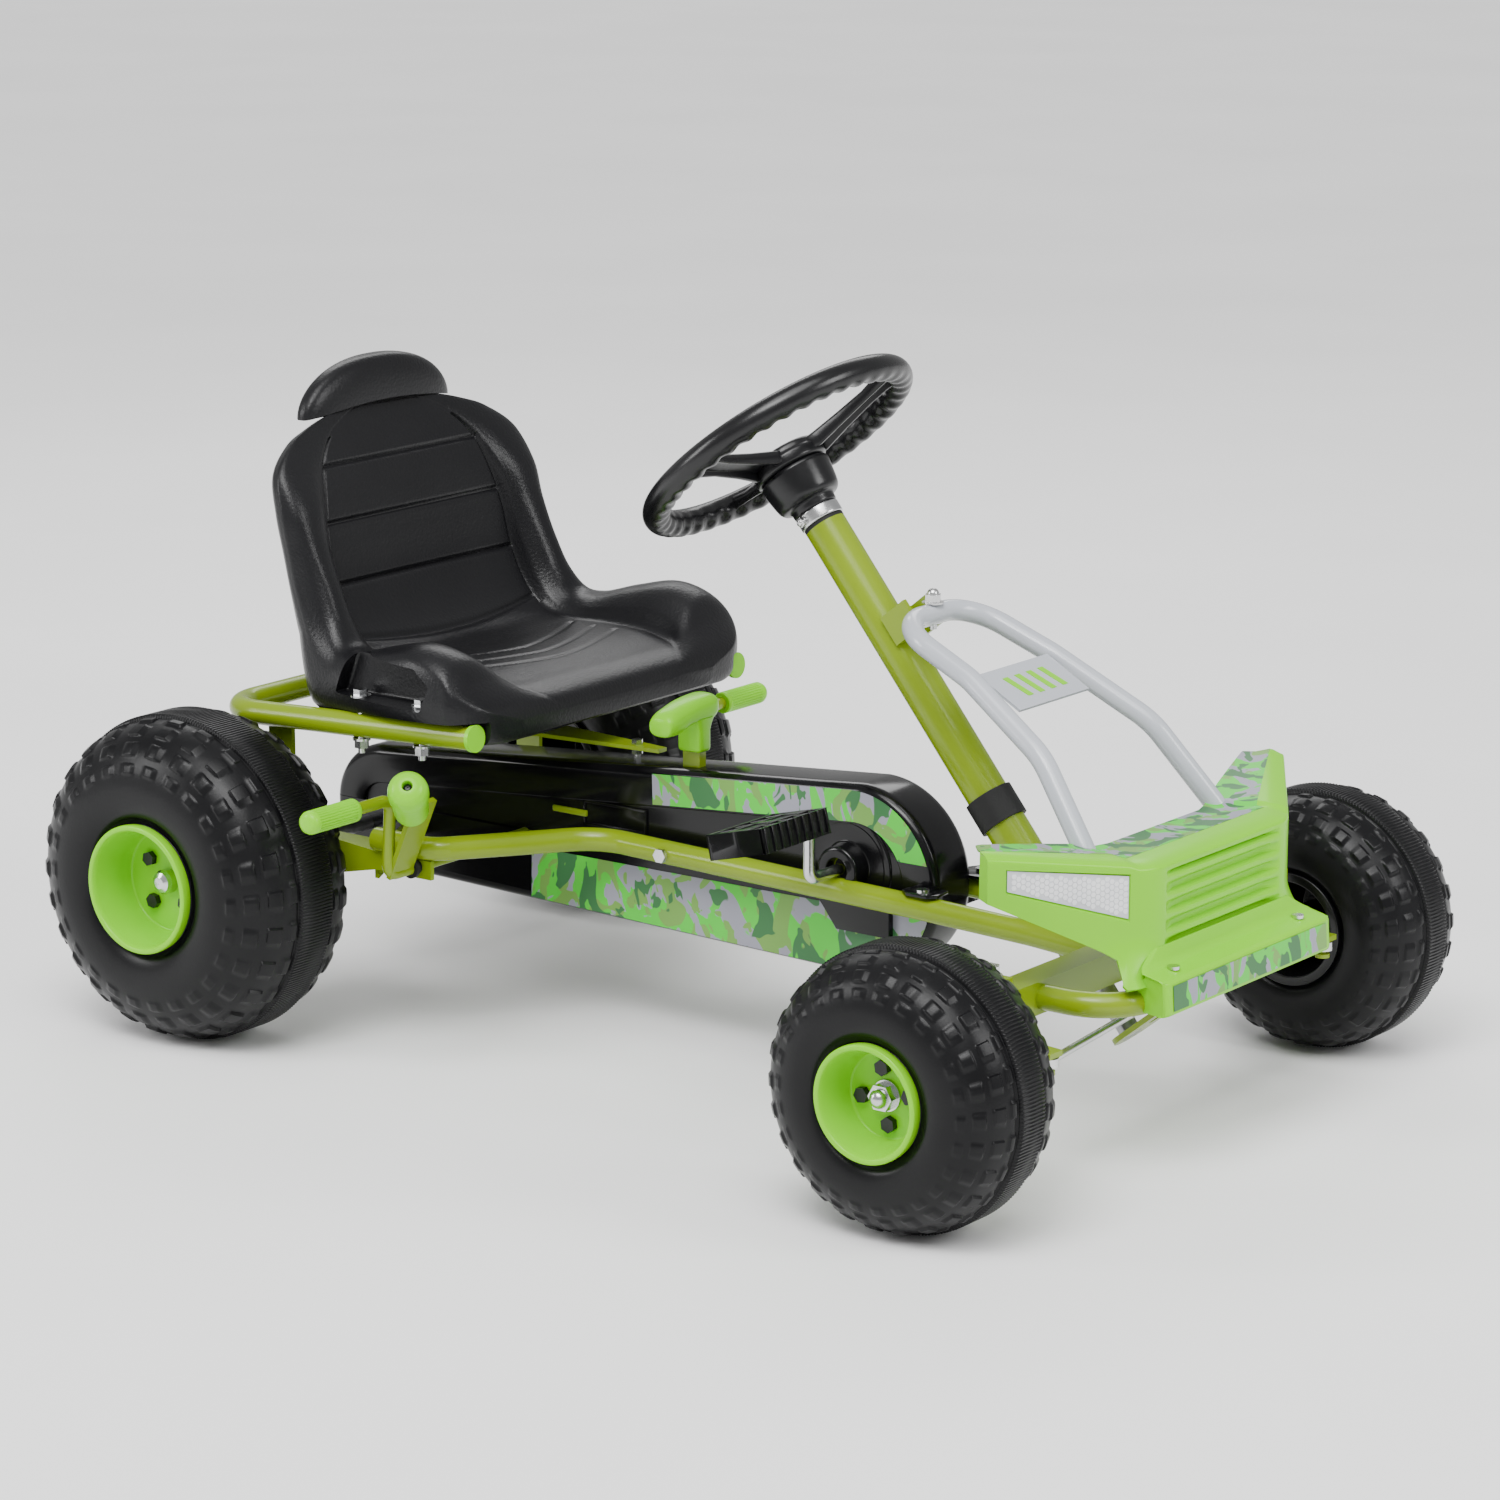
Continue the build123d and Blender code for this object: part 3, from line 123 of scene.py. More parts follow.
def camo_material():
    """Printed camouflage film: lobed patches of green over lavender grey."""
    mat = bpy.data.materials.new("camouflage_film")
    mat.use_nodes = True
    tree = mat.node_tree
    shader = tree.nodes["Principled BSDF"]
    shader.inputs["Roughness"].default_value = 0.42
    shader.inputs["Specular IOR Level"].default_value = 0.35
    where = tree.nodes.new("ShaderNodeTexCoord")
    colour = None
    base = (0.27, 0.27, 0.32, 1)
    layers = [
        ((0.060, 0.56, 0.030, 1), 24.0, 0.475, (0.0, 0.0, 0.0)),
        ((0.150, 0.33, 0.060, 1), 30.0, 0.555, (3.1, 1.7, 0.4)),
        ((0.035, 0.15, 0.045, 1), 26.0, 0.555, (7.7, 4.2, 2.9)),
    ]
    for paint, scale, edge, shift in layers:
        mapping = tree.nodes.new("ShaderNodeMapping")
        mapping.inputs["Location"].default_value = shift
        mapping.inputs["Scale"].default_value = (1.0, 1.0, 0.75)
        tree.links.new(where.outputs["Object"], mapping.inputs["Vector"])
        patch = tree.nodes.new("ShaderNodeTexNoise")
        patch.inputs["Scale"].default_value = scale
        patch.inputs["Detail"].default_value = 2.2
        patch.inputs["Roughness"].default_value = 0.44
        patch.inputs["Distortion"].default_value = 1.9
        tree.links.new(mapping.outputs["Vector"], patch.inputs["Vector"])
        cut = tree.nodes.new("ShaderNodeValToRGB")
        cut.color_ramp.elements[0].position = edge - PATCH_SOFTNESS
        cut.color_ramp.elements[1].position = edge + PATCH_SOFTNESS
        tree.links.new(patch.outputs["Fac"], cut.inputs["Fac"])
        mix = tree.nodes.new("ShaderNodeMix")
        mix.data_type = "RGBA"
        tree.links.new(cut.outputs["Color"], mix.inputs["Factor"])
        if colour is None:
            mix.inputs["A"].default_value = base
        else:
            tree.links.new(colour, mix.inputs["A"])
        mix.inputs["B"].default_value = paint
        colour = mix.outputs["Result"]
    tree.links.new(colour, shader.inputs["Base Color"])
    grain = tree.nodes.new("ShaderNodeTexNoise")
    grain.inputs["Scale"].default_value = 700.0
    tree.links.new(where.outputs["Object"], grain.inputs["Vector"])
    relief = tree.nodes.new("ShaderNodeBump")
    relief.inputs["Strength"].default_value = 0.06
    relief.inputs["Distance"].default_value = FILM_GRAIN_DEPTH
    tree.links.new(grain.outputs["Fac"], relief.inputs["Height"])
    tree.links.new(relief.outputs["Normal"], shader.inputs["Normal"])
    return mat


CAMO = camo_material()
WHITE = material("white_reflector", (0.72, 0.73, 0.75), (0.80, 0.81, 0.82), 0.22, scale=60, bump=0.15,
                 bump_scale=900, coat=0.6)
SILVER = material("reflector_ground", (0.50, 0.51, 0.54), (0.58, 0.59, 0.62), 0.30, scale=60, bump=0.2,
                  bump_scale=900)


# ---- mesh helpers (all in millimetres) ----
MERGE_DISTANCE = 1e-6
BEVEL_FROM = 30


def piece(name, verts, faces, body, mat, stands_for=(), smooth=True, bevel=0.0, segments=3,
          solidify=0.0, angle=35.0):
    """A piece from a mesh in the row frame, with its finish, riding on a body."""
    mesh = bpy.data.meshes.new(name)
    mesh.from_pydata([tuple(float(c) * MM for c in v) for v in verts], [], [tuple(f) for f in faces])
    mesh.validate()
    obj = bpy.data.objects.new(name, mesh)
    bpy.context.scene.collection.objects.link(obj)
    work = bmesh.new()
    work.from_mesh(mesh)
    bmesh.ops.remove_doubles(work, verts=work.verts, dist=MERGE_DISTANCE)
    bmesh.ops.recalc_face_normals(work, faces=work.faces)
    work.to_mesh(mesh)
    work.free()
    mesh.materials.append(mat)
    if solidify:
        thick = obj.modifiers.new("wall", "SOLIDIFY")
        thick.thickness = solidify * MM
        thick.offset = -1.0
    if bevel:
        edge = obj.modifiers.new("edge", "BEVEL")
        edge.width = bevel * MM
        edge.segments = segments
        edge.limit_method = "ANGLE"
        edge.angle_limit = math.radians(BEVEL_FROM)
        edge.harden_normals = False
    if bevel or solidify:
        apply_modifiers(obj)
    obj.data.polygons.foreach_set("use_smooth", [smooth] * len(obj.data.polygons))
    if smooth and angle:
        obj.data.set_sharp_from_angle(angle=math.radians(angle))
    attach(obj, body)
    if stands_for:
        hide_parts(*stands_for)
    return obj


def apply_modifiers(obj):
    """Puts the modifiers' result into the mesh."""
    graph = bpy.context.evaluated_depsgraph_get()
    made = bpy.data.meshes.new_from_object(obj.evaluated_get(graph))
    old = obj.data
    obj.modifiers.clear()
    obj.data = made
    bpy.data.meshes.remove(old)


def grid_faces(rows, cols, wrap_rows=False, wrap_cols=False):
    """Quads over a grid of points stored row by row."""
    faces = []
    for i in range(rows if wrap_rows else rows - 1):
        for j in range(cols if wrap_cols else cols - 1):
            a = i * cols + j
            b = i * cols + (j + 1) % cols
            c = ((i + 1) % rows) * cols + (j + 1) % cols
            d = ((i + 1) % rows) * cols + j
            faces.append((a, b, c, d))
    return faces


def smooth_curve(points, steps, closed=False):
    """A Catmull-Rom curve through points, steps to each run."""
    pts = np.array(points, float)
    n = len(pts)
    out = []
    for i in range(n if closed else n - 1):
        if closed:
            p0, p1, p2, p3 = pts[(i - 1) % n], pts[i], pts[(i + 1) % n], pts[(i + 2) % n]
        else:
            p0, p1, p2, p3 = pts[max(i - 1, 0)], pts[i], pts[i + 1], pts[min(i + 2, n - 1)]
        for k in range(steps):
            t = k / steps
            out.append(0.5 * (2 * p1 + (p2 - p0) * t + (2 * p0 - 5 * p1 + 4 * p2 - p3) * t * t
                              + (3 * p1 - p0 - 3 * p2 + p3) * t ** 3))
    if not closed:
        out.append(pts[-1])
    return np.array(out)


def lathe(profile, origin, axis, turns=96, closed=True):
    """Points and quads of (distance along the axis, radius) pairs spun round an axis."""
    axis = Vector(axis).normalized()
    side = axis.orthogonal().normalized()
    other = axis.cross(side)
    origin = Vector(origin)
    verts = []
    for d, r in profile:
        for k in range(turns):
            t = 2 * math.pi * k / turns
            verts.append(origin + axis * d + (side * math.cos(t) + other * math.sin(t)) * r)
    return verts, grid_faces(len(profile), turns, wrap_rows=closed, wrap_cols=True)


def rounded(points, radius, steps=4):
    """An open polyline with its inner corners rounded."""
    pts = [Vector(p) for p in points]
    out = [pts[0]]
    for a, b, c in zip(pts, pts[1:], pts[2:]):
        u, v = (a - b), (c - b)
        reach = min(radius, u.length * 0.45, v.length * 0.45)
        p, q = b + u.normalized() * reach, b + v.normalized() * reach
        for k in range(steps + 1):
            t = k / steps
            out.append(p * (1 - t) ** 2 + b * 2 * t * (1 - t) + q * t * t)
    out.append(pts[-1])
    return [tuple(p) for p in out]


def box_mesh(x0, x1, y0, y1, z0, z1):
    """Corners and faces of a box between two corners."""
    verts = [(x, y, z) for x in (x0, x1) for y in (y0, y1) for z in (z0, z1)]
    return verts, [(0, 1, 3, 2), (4, 6, 7, 5), (0, 4, 5, 1), (2, 3, 7, 6), (0, 2, 6, 4), (1, 5, 7, 3)]


def merge(parts):
    """Several (points, faces) pairs as one."""
    verts, faces = [], []
    for v, f in parts:
        faces += [tuple(i + len(verts) for i in face) for face in f]
        verts += list(v)
    return verts, faces


def prism(outline, place, low, high):
    """A flat outline pushed from low to high; place(u, v, w) gives the point in the row frame."""
    n = len(outline)
    verts = [place(u, v, w) for w in (low, high) for u, v in outline]
    faces = [tuple(range(n - 1, -1, -1)), tuple(range(n, 2 * n))]
    faces += [(i, (i + 1) % n, n + (i + 1) % n, n + i) for i in range(n)]
    return verts, faces


def sideways(side):
    """Places an outline drawn in x and z, pushed out to one side."""
    return lambda u, v, w: (u, side * w, v)


def end_caps(rows, cols):
    """The two polygons that close a stack of rings."""
    return [tuple(range(cols - 1, -1, -1)), tuple(range((rows - 1) * cols, rows * cols))]


def power(value, exponent):
    """A power that keeps the sign."""
    return math.copysign(abs(value) ** exponent, value)


def step(x, edge, soft):
    """0 below an edge and 1 above it, with a soft change between."""
    t = np.clip((x - edge) / soft + 0.5, 0, 1)
    return t * t * (3 - 2 * t)


def bump(x, low, high, soft):
    """1 between low and high, 0 outside, with soft edges."""
    return step(x, low, soft) * (1 - step(x, high, soft))


# ---- wheels ----
# tyre section from the bead to the band: share of the half width, share of the height
TYRE_CURVE = [(0.82, -0.07), (0.86, 0.01), (0.945, 0.12), (0.98, 0.26), (0.975, 0.42), (0.925, 0.585),
              (0.82, 0.745), (0.66, 0.872), (0.45, 0.950), (0.27, 0.982)]


LUG_MARKS = np.array([0, 0.035, 0.075, 0.12, 0.2, 0.3, 0.38, 0.425, 0.465, 0.5, 0.58, 0.68, 0.78, 0.89])
LUG_EDGE = 1.4
LUG_SPAN = (0.02, 0.50, 0.05)
ROW_TURN = 0.10
FINE_STEP, PLAIN_STEP = 0.7, 1.9
RIB_PITCH = 2.7
RIB_MARKS = np.array([0, 0.16, 0.5, 0.66])
RIB_HEIGHTS = np.array([0.0, 0.9, 0.9, 0.0])


def tyre_piece(label, centre, side, y_range, radius, lip_radius, band_half, lugs, rows):
    """A moulded tyre: two lugged halves either side of a ribbed band."""
    middle = sum(y_range) / 2
    half = (y_range[1] - y_range[0]) / 2
    bead = lip_radius - 1.0
    curve = smooth_curve(TYRE_CURVE, 14)
    prof = np.column_stack([curve[:, 0] * (half - 1.5), bead + curve[:, 1] * (radius - 2.0 - bead)])
    run = np.concatenate([[0], np.cumsum(np.hypot(*np.diff(prof, axis=0).T))])
    total = run[-1]
    fine = [0.0]
    stops = sorted(v for a, b, _ in rows for v in (a, b))
    while fine[-1] < total:
        near = min(abs(fine[-1] - (total - s)) for s in stops)
        fine.append(fine[-1] + (FINE_STEP if near < 1.6 else PLAIN_STEP))
    fine[-1] = total
    fine = np.array(fine)
    us, rs = np.interp(fine, run, prof[:, 0]), np.interp(fine, run, prof[:, 1])
    du, dr = np.gradient(us, fine), np.gradient(rs, fine)
    theta = np.concatenate([(k + LUG_MARKS) / lugs for k in range(lugs)]) * 2 * math.pi
    parts = []
    for face in (1, -1):
        shift = 0.0 if face > 0 else 0.5
        lug = (theta / (2 * math.pi) * lugs + shift) % 1.0
        heights = np.zeros((len(fine), len(theta)))
        for index, (a, b, tall) in enumerate(rows):
            across = bump(total - fine, a, b, LUG_EDGE)
            along = bump((lug + ROW_TURN * index) % 1.0, *LUG_SPAN)
            heights = np.maximum(heights, tall * across[:, None] * along[None, :])
        groove = -1.6 * bump(total - fine, 1.0, 3.0, 1.2) - 0.9 * bump(fine, 9.0, 11.5, 1.6)
        heights = heights + groove[:, None]
        u, r = face * (us[:, None] + dr[:, None] * heights), rs[:, None] - du[:, None] * heights
        r = np.minimum(r, radius - 0.2)
        u = np.clip(u, -half, half)
        along_axle = side * (middle + u)
        x = centre[0] + r * np.cos(theta)[None, :]
        z = centre[1] + r * np.sin(theta)[None, :]
        verts = [(x[i, j], along_axle[i, j], z[i, j]) for i in range(len(fine)) for j in range(len(theta))]
        parts.append((verts, grid_faces(len(fine), len(theta), wrap_cols=True)))
    # ribbed band between the halves
    ribs = int(round(2 * math.pi * radius / RIB_PITCH))
    turn = np.concatenate([(k + RIB_MARKS) / ribs for k in range(ribs)]) * 2 * math.pi
    lifts = np.tile(RIB_HEIGHTS, ribs)
    low = prof[-1][1] - 1.0
    rows_u = [(-1.0, 0, low - 1.5), (-0.96, 0, radius - 1.6), (-0.90, 1, radius - 1.0),
              (0.90, 1, radius - 1.0), (0.96, 0, radius - 1.6), (1.0, 0, low - 1.5)]
    verts = []
    for f, ribbed, base in rows_u:
        for t, h in zip(turn, lifts):
            r = base + (h if ribbed else 0)
            across = side * (middle + f * (band_half + 1.0))
            verts.append((centre[0] + r * math.cos(t), across, centre[1] + r * math.sin(t)))
    parts.append((verts, grid_faces(len(rows_u), len(turn), wrap_cols=True)))
    # inside of the tyre, from bead to bead
    parts.append(lathe([(-0.84 * half, bead - 2.6), (0.84 * half, bead - 2.6)],
                       (centre[0], side * middle, centre[1]), (0, 1, 0), 120, closed=False))
    body = "rear_wheels" if centre is REAR else f"{label}_front_wheel"
    end = "rear" if centre is REAR else "front"
    verts, faces = merge(parts)
    return piece(f"{end}_tyre_{label}_moulded", verts, faces, body, TYRE,
                 [f"{end}_tyre_{label}"], angle=50)


def rim_piece(label, centre, side, y_range, lip, disc, hub_y):
    """A deep-dish rim with a rolled lip, and the black barrel behind it."""
    lip_y, lip_r = lip
    disc_y, disc_r = disc
    inner = y_range[0] + 3
    end = "rear" if centre is REAR else "front"
    body = "rear_wheels" if centre is REAR else f"{label}_front_wheel"
    dish = rounded(
        [(disc_y - 2, 6.1), (disc_y, 6.1), (disc_y, 12), (disc_y, disc_r - 1), (disc_y + 6, disc_r + 0.8),
         (lip_y - 3.5, lip_r - 5.5), (lip_y - 0.4, lip_r - 4.2), (lip_y, lip_r - 2),
         (lip_y - 0.8, lip_r - 0.3), (lip_y - 4, lip_r), (lip_y - 9, lip_r - 0.6), (lip_y - 9, lip_r - 2.6),
         (lip_y - 5, lip_r - 3), (disc_y + 5, disc_r + 2.8), (disc_y - 2, disc_r + 1.5)], 1.8, 4)
    verts, faces = lathe(dish, (centre[0], 0, centre[1]), (0, side, 0), 144)
    piece(f"{end}_rim_{label}_dish", verts, faces, body, LIME, [f"{end}_rim_{label}"],
          angle=40)
    barrel = rounded(
        [(hub_y, 6.1), (disc_y - 2.2, 6.1), (disc_y - 2.2, disc_r + 1.5), (disc_y + 5, disc_r + 3.2),
         (lip_y - 9.3, lip_r - 2.2), (lip_y - 9.3, lip_r - 0.6), (inner + 5, lip_r - 0.6),
         (inner + 5, lip_r + 2.2), (inner, lip_r + 2.2), (inner, lip_r - 5), (inner + 8, lip_r - 6),
         (disc_y - 6, disc_r - 2), (disc_y - 5, 15), (disc_y - 5, 14), (hub_y, 14)], 1.2, 3)
    verts, faces = lathe(barrel, (centre[0], 0, centre[1]), (0, side, 0), 120)
    piece(f"{end}_rim_{label}_barrel", verts, faces, body, WHEELBLACK, angle=40)


# rows of lugs: start and end of each from the band, and its height
REAR_ROWS = [(3.0, 9.5, 1.9), (15.5, 27.5, 2.2), (34.0, 45.5, 1.9), (52.0, 60.0, 1.0)]
FRONT_ROWS = [(2.6, 7.8, 1.5), (12.6, 22.0, 1.8), (27.2, 36.4, 1.5), (41.0, 47.5, 0.8)]
LEFT_OUT = 38.5
REAR_TYRE, REAR_LIP, REAR_DISC, REAR_HUB = (161, 292), (293, 50.5), (255, 41), 235
FRONT_TYRE, FRONT_LIP, FRONT_DISC, FRONT_HUB = (219.5, 331), (331.5, 42), (302, 32), 226
for label, side in SIDES.items():
    out = LEFT_OUT if side > 0 else 0.0
    rear_width = (REAR_TYRE[0] + out, REAR_TYRE[1] + out)
    tyre_piece(label, REAR, side, rear_width, 128, REAR_LIP[1], 17.3, 26, REAR_ROWS)
    tyre_piece(label, FRONT, side, FRONT_TYRE, 101.5, FRONT_LIP[1], 13.3, 26, FRONT_ROWS)
    rim_piece(label, REAR, side, rear_width, (REAR_LIP[0] + out, REAR_LIP[1]),
              (REAR_DISC[0] + out, REAR_DISC[1]), REAR_HUB + out)
    rim_piece(label, FRONT, side, FRONT_TYRE, FRONT_LIP, FRONT_DISC, FRONT_HUB)

# ---- seat ----
# stations from the front edge to the top: x, z, lean, half panel, bolster rise, half width, depth
SEAT = np.array([
    (-101, 262, 0, 60, 1, 118, 12), (-106, 272, 0, 80, 3, 152, 25), (-121, 279, 0, 96, 13, 174, 32),
    (-137, 282, 0, 106, 28, 178, 34), (-166, 286, 0, 110, 32, 178, 33), (-200, 287, 0, 110, 25, 174, 35),
    (-237, 287, 6, 108, 16, 166, 38), (-262, 292, 34, 107, 16, 158, 46), (-283, 311, 60, 107, 20, 152, 40),
    (-298, 340, 75, 107, 21, 149, 32), (-306, 372, 77, 106, 15, 149, 31), (-313, 402, 75, 100, 12, 149, 31),
    (-323, 431, 71, 90, 5, 141, 31), (-332, 450, 67, 72, 2, 116, 29), (-336, 459, 66, 56, 1, 91, 27),
    (-339, 466, 66, 38, 0.5, 62, 24), (-341, 469.5, 66, 18, 0.2, 30, 20)], float)


# shape of the shell's outer edge: each value on the pan and on the back
EDGE_ROUNDING = ((0.35, 0.12), (2.5, 3.5), (0.72, 0.36), (12, 18), (0.96, 0.72), (28, 48))
BACK_GROOVES = ((429, 93, 0), (386.5, 105, 0), (340, 108, 0), (302, 107, 7))
CUSHION_GROOVES = ((-196, 34), (-176, 30), (-158, 26))
RAIL_CHANNEL = [(-372, 236), (-60, 236), (-60, 266.4), (-117, 266.0), (-372, 252.3)]
SIDE_POCKET = [(-250, 272), (-152, 272), (-144, 292), (-160, 304), (-236, 306)]


def seat_piece():
    """The seat: one smooth moulded shell with its pressed grooves."""
    stations = smooth_curve(SEAT, 26)
    rows = len(stations)
    verts = []
    count = 0
    for x, z, lean, panel, rise, half, depth in stations:
        a = math.radians(lean)
        top = half - 0.3 * (half - panel)
        span = max(top - panel, 2)
        size = min(half / 140, 1)
        back = min(max((lean - 34) / 30, 0), 1)
        edge = [low + back * (high - low) for low, high in EDGE_ROUNDING]
        control = [
            (0, 0), (0.45 * panel, 0), (0.88 * panel, 0.2), (panel, 0.06 * rise),
            (panel + 0.2 * span, 0.5 * rise), (panel + 0.55 * span, 0.93 * rise), (top, rise),
            (half - 5, 0.72 * rise), (half - 0.3, 0.1 * rise), (half, -edge[0] * depth),
            (half - edge[1] * size, -edge[2] * depth), (half - edge[3] * size, -edge[4] * depth),
            (half - edge[5] * size, -depth), (0.45 * half, -depth), (0.2 * half, -depth)]
        loop = control + [(0, -depth)] + [(-y, h) for y, h in reversed(control[1:])]
        line = smooth_curve(loop, 10, closed=True)
        y, h = line[:, 0], line[:, 1]
        inner = h > -0.3 * depth
        # grooves: the panel's border, four across the back, three across the cushion
        cut = 2.0 * np.exp(-((np.abs(y) - panel) / 1.6) ** 2) * (z > 296) * (z < 449)
        for gz, reach, sag in BACK_GROOVES:
            at = gz - sag * (1 - (y / reach) ** 2)
            cut = np.maximum(cut, 2.6 * np.exp(-((z - at) / 1.9) ** 2) * (np.abs(y) < reach) * (lean > 25))
        for gx, bend in CUSHION_GROOVES:
            at = gx - bend * (np.abs(y) / 100) ** 1.5
            cut = np.maximum(cut, 1.2 * np.exp(-((x - at) / 1.5) ** 2) * (np.abs(y) < 96) * (lean < 30))
        h = h - cut * inner
        verts += [(x + hh * math.sin(a), yy, z + hh * math.cos(a)) for yy, hh in zip(y, h)]
        count = len(y)
    faces = grid_faces(rows, count, wrap_cols=True)
    faces += end_caps(rows, count)
    seat = piece("seat_shell_moulded", verts, faces, "kart_frame", SATIN,
                 ["seat_shell"], angle=0)
    # rail channels and side pockets are cut out
    for side in (-1, 1):
        cutters = [prism(RAIL_CHANNEL, sideways(side), 150.6, 190),
                   prism(SIDE_POCKET, sideways(side), 150, 195)]
        for verts, faces in cutters:
            cutter = piece("cutter", verts, faces, "kart_frame", SATIN, smooth=False,
                           bevel=2.5, segments=3)
            hole = seat.modifiers.new("cut", "BOOLEAN")
            hole.object = cutter
            hole.solver = "EXACT"
            apply_modifiers(seat)
            bpy.data.objects.remove(cutter)
    seat.data.polygons.foreach_set("use_smooth", [True] * len(seat.data.polygons))
    seat.data.set_sharp_from_angle(angle=math.radians(40))


seat_piece()


def headrest_piece():
    """The cap on the seat's back: half an ellipse from the front, with an arched lower edge."""
    rows = []
    steps, around = 22, 72
    for k in range(steps + 1):
        t = k / steps
        narrowing = math.cos(t * math.pi / 2)
        lift = 43.5 * math.sin(t * math.pi / 2)
        half = 86 * max(narrowing ** 1.12, 0.02)
        deep = 15.0 * max(narrowing ** 0.7, 0.05)
        ring = []
        for j in range(around):
            p = 2 * math.pi * j / around
            c, s = math.cos(p), math.sin(p)
            y = half * power(s, 0.75)
            arch = 9.0 * (1 - (y / 90) ** 2) * (1 - t)
            ring.append((-350 + deep * power(c, 0.7), y, 461.2 + arch + lift - arch * 0.2 * t))
        rows.append(ring)
    verts = [v for ring in rows for v in ring]
    faces = grid_faces(len(rows), around, wrap_cols=True) + end_caps(len(rows), around)
    piece("seat_headrest_moulded", verts, faces, "kart_frame", SATIN,
          ["seat_headrest"], angle=60)
    screws = [lathe([(-3, 0.01), (-3, 3.6), (0.2, 3.6), (0.5, 3.0), (0.5, 2.4), (-0.6, 2.0), (-0.8, 0.01)],
                    (-345, side * 66, 484), (0.5, side * 0.7, 0.5), 24) for side in (-1, 1)]
    verts, faces = merge(screws)
    piece("seat_headrest_screws", verts, faces, "kart_frame", BLACKSTEEL)


headrest_piece()

# ---- chain case ----
# x, z and radius of the case's two round ends
CASE_FRONT = (140.0, 156.0, 74.0)
CASE_REAR = (-327.0, 143.0, 50.0)


def case_line(inset, upper, cut):
    """The case's edge, inset, above or below the height where its covers meet."""
    (fx, fz, fr), (rx, rz, rr) = CASE_FRONT, CASE_REAR
    fr, rr = fr - inset, rr - inset
    gap = math.hypot(fx - rx, fz - rz)
    tilt = math.atan2(fz - rz, fx - rx)
    lean = math.acos((fr - rr) / gap)
    sign = 1 if upper else -1
    start = math.asin((cut - fz) / fr)
    tangent = tilt + sign * lean
    finish = math.pi - math.asin((cut - rz) / rr) if upper else -math.pi - math.asin((cut - rz) / rr)
    a = (fx + fr * math.cos(tangent), fz + fr * math.sin(tangent))
    b = (rx + rr * math.cos(tangent), rz + rr * math.sin(tangent))
    points = []
    for k in range(31):
        t = start + (tangent - start) * k / 30
        points.append((fx + fr * math.cos(t), fz + fr * math.sin(t)))
    for k in range(1, 12):
        t = k / 12
        points.append((a[0] + (b[0] - a[0]) * t, a[1] + (b[1] - a[1]) * t))
    for k in range(25):
        t = tangent + (finish - tangent) * k / 24
        points.append((rx + rr * math.cos(t), rz + rr * math.sin(t)))
    return points


def case_shell(rings, upper, cut):
    """A cover from rings of (inset, half width) pairs, the same on both sides."""
    verts, cols = [], 0
    full = [(i, y) for i, y in reversed(rings)] + [(i, -y) for i, y in rings]
    for inset, y in full:
        line = case_line(inset, upper, cut)
        cols = len(line)
        verts += [(x, y, z) for x, z in line]
    faces = grid_faces(len(full), cols)
    faces += [tuple(range(cols)), tuple(range((len(full) - 1) * cols + cols - 1, (len(full) - 1) * cols - 1,
                                              -1))]
    return verts, faces


WINDOW_FRAME = ((-120, -58, 177.5, 179.3), (-120, -58, 160, 161.6), (-120, -118.2, 160, 179.3),
                (-59.8, -58, 160, 179.3))
# inset and half width of the rings that round the case's edge
edge = [(0, 15.5), (0.25, 18.0), (1.0, 20.3), (2.2, 22.3), (4.0, 23.9), (6.2, 24.8), (8.8, 25.0)]
verts, faces = case_shell(edge + [(29, 25.0), (30.2, 24.6), (31.2, 22.6), (33, 22.3), (40, 22.3)], True,
                          146.2)
piece("chain_case_upper_moulded", verts, faces, "kart_frame", GLOSS,
      ["chain_case_upper"], solidify=2.0, angle=38)
verts, faces = case_shell(edge, False, 145.8)
piece("chain_case_lower_moulded", verts, faces, "kart_frame", GLOSS,
      ["chain_case_lower"], solidify=2.0, angle=38)

parts = []
for side in (-1, 1):
    # stepped boss round the crank, flange over the frame tube, small latch window
    parts.append(lathe([(21, 12.6), (24.4, 12.6), (24.8, 13.2), (24.8, 18), (24.2, 19), (23.4, 20),
                        (23.4, 33), (24.0, 34), (24.0, 38), (23.3, 39.2), (22.0, 40), (21, 40)],
                       CRANK, (0, side, 0), 96))
    parts.append(prism([(196, 23), (224, 23), (226, 40), (220, 46), (202, 46), (194, 40)],
                       lambda u, v, w: (u, side * v, w), 158.9, 161.3))
    # housing over the crank's bearing, with its square ledge under the tube
    housing = [(24, 9.0), (37.6, 9.0), (38.6, 10), (38.6, 15.6), (37.4, 17.6), (30, 18.4), (24, 19.5)]
    parts.append(lathe(rounded(housing, 1.0, 3), CRANK, (0, side, 0), 72))
    parts.append(prism([(128, 118), (176, 118), (176, 150), (106, 146)], sideways(side), 24.6, 31))
    # window frame with the latch
    for u0, u1, v0, v1 in WINDOW_FRAME:
        parts.append(box_mesh(u0, u1, *sorted((side * 22.0, side * 23.9)), v0, v1))
verts, faces = merge(parts)
piece("chain_case_mouldings", verts, faces, "kart_frame", GLOSS, bevel=0.5, segments=2)
latches = [box_mesh(-150, -116, *sorted((side * 22.2, side * 25.4)), 166, 171) for side in (-1, 1)]
verts, faces = merge(latches)
piece("chain_case_latches", verts, faces, "kart_frame", OLIVE, bevel=1.2, segments=3)

# ---- steering wheel ----
cx, cz, ca = COLUMN
UP = Vector((-math.cos(ca), 0, math.sin(ca)))
FWD = Vector((math.sin(ca), 0, math.cos(ca)))
LEFT = Vector((0, 1, 0))


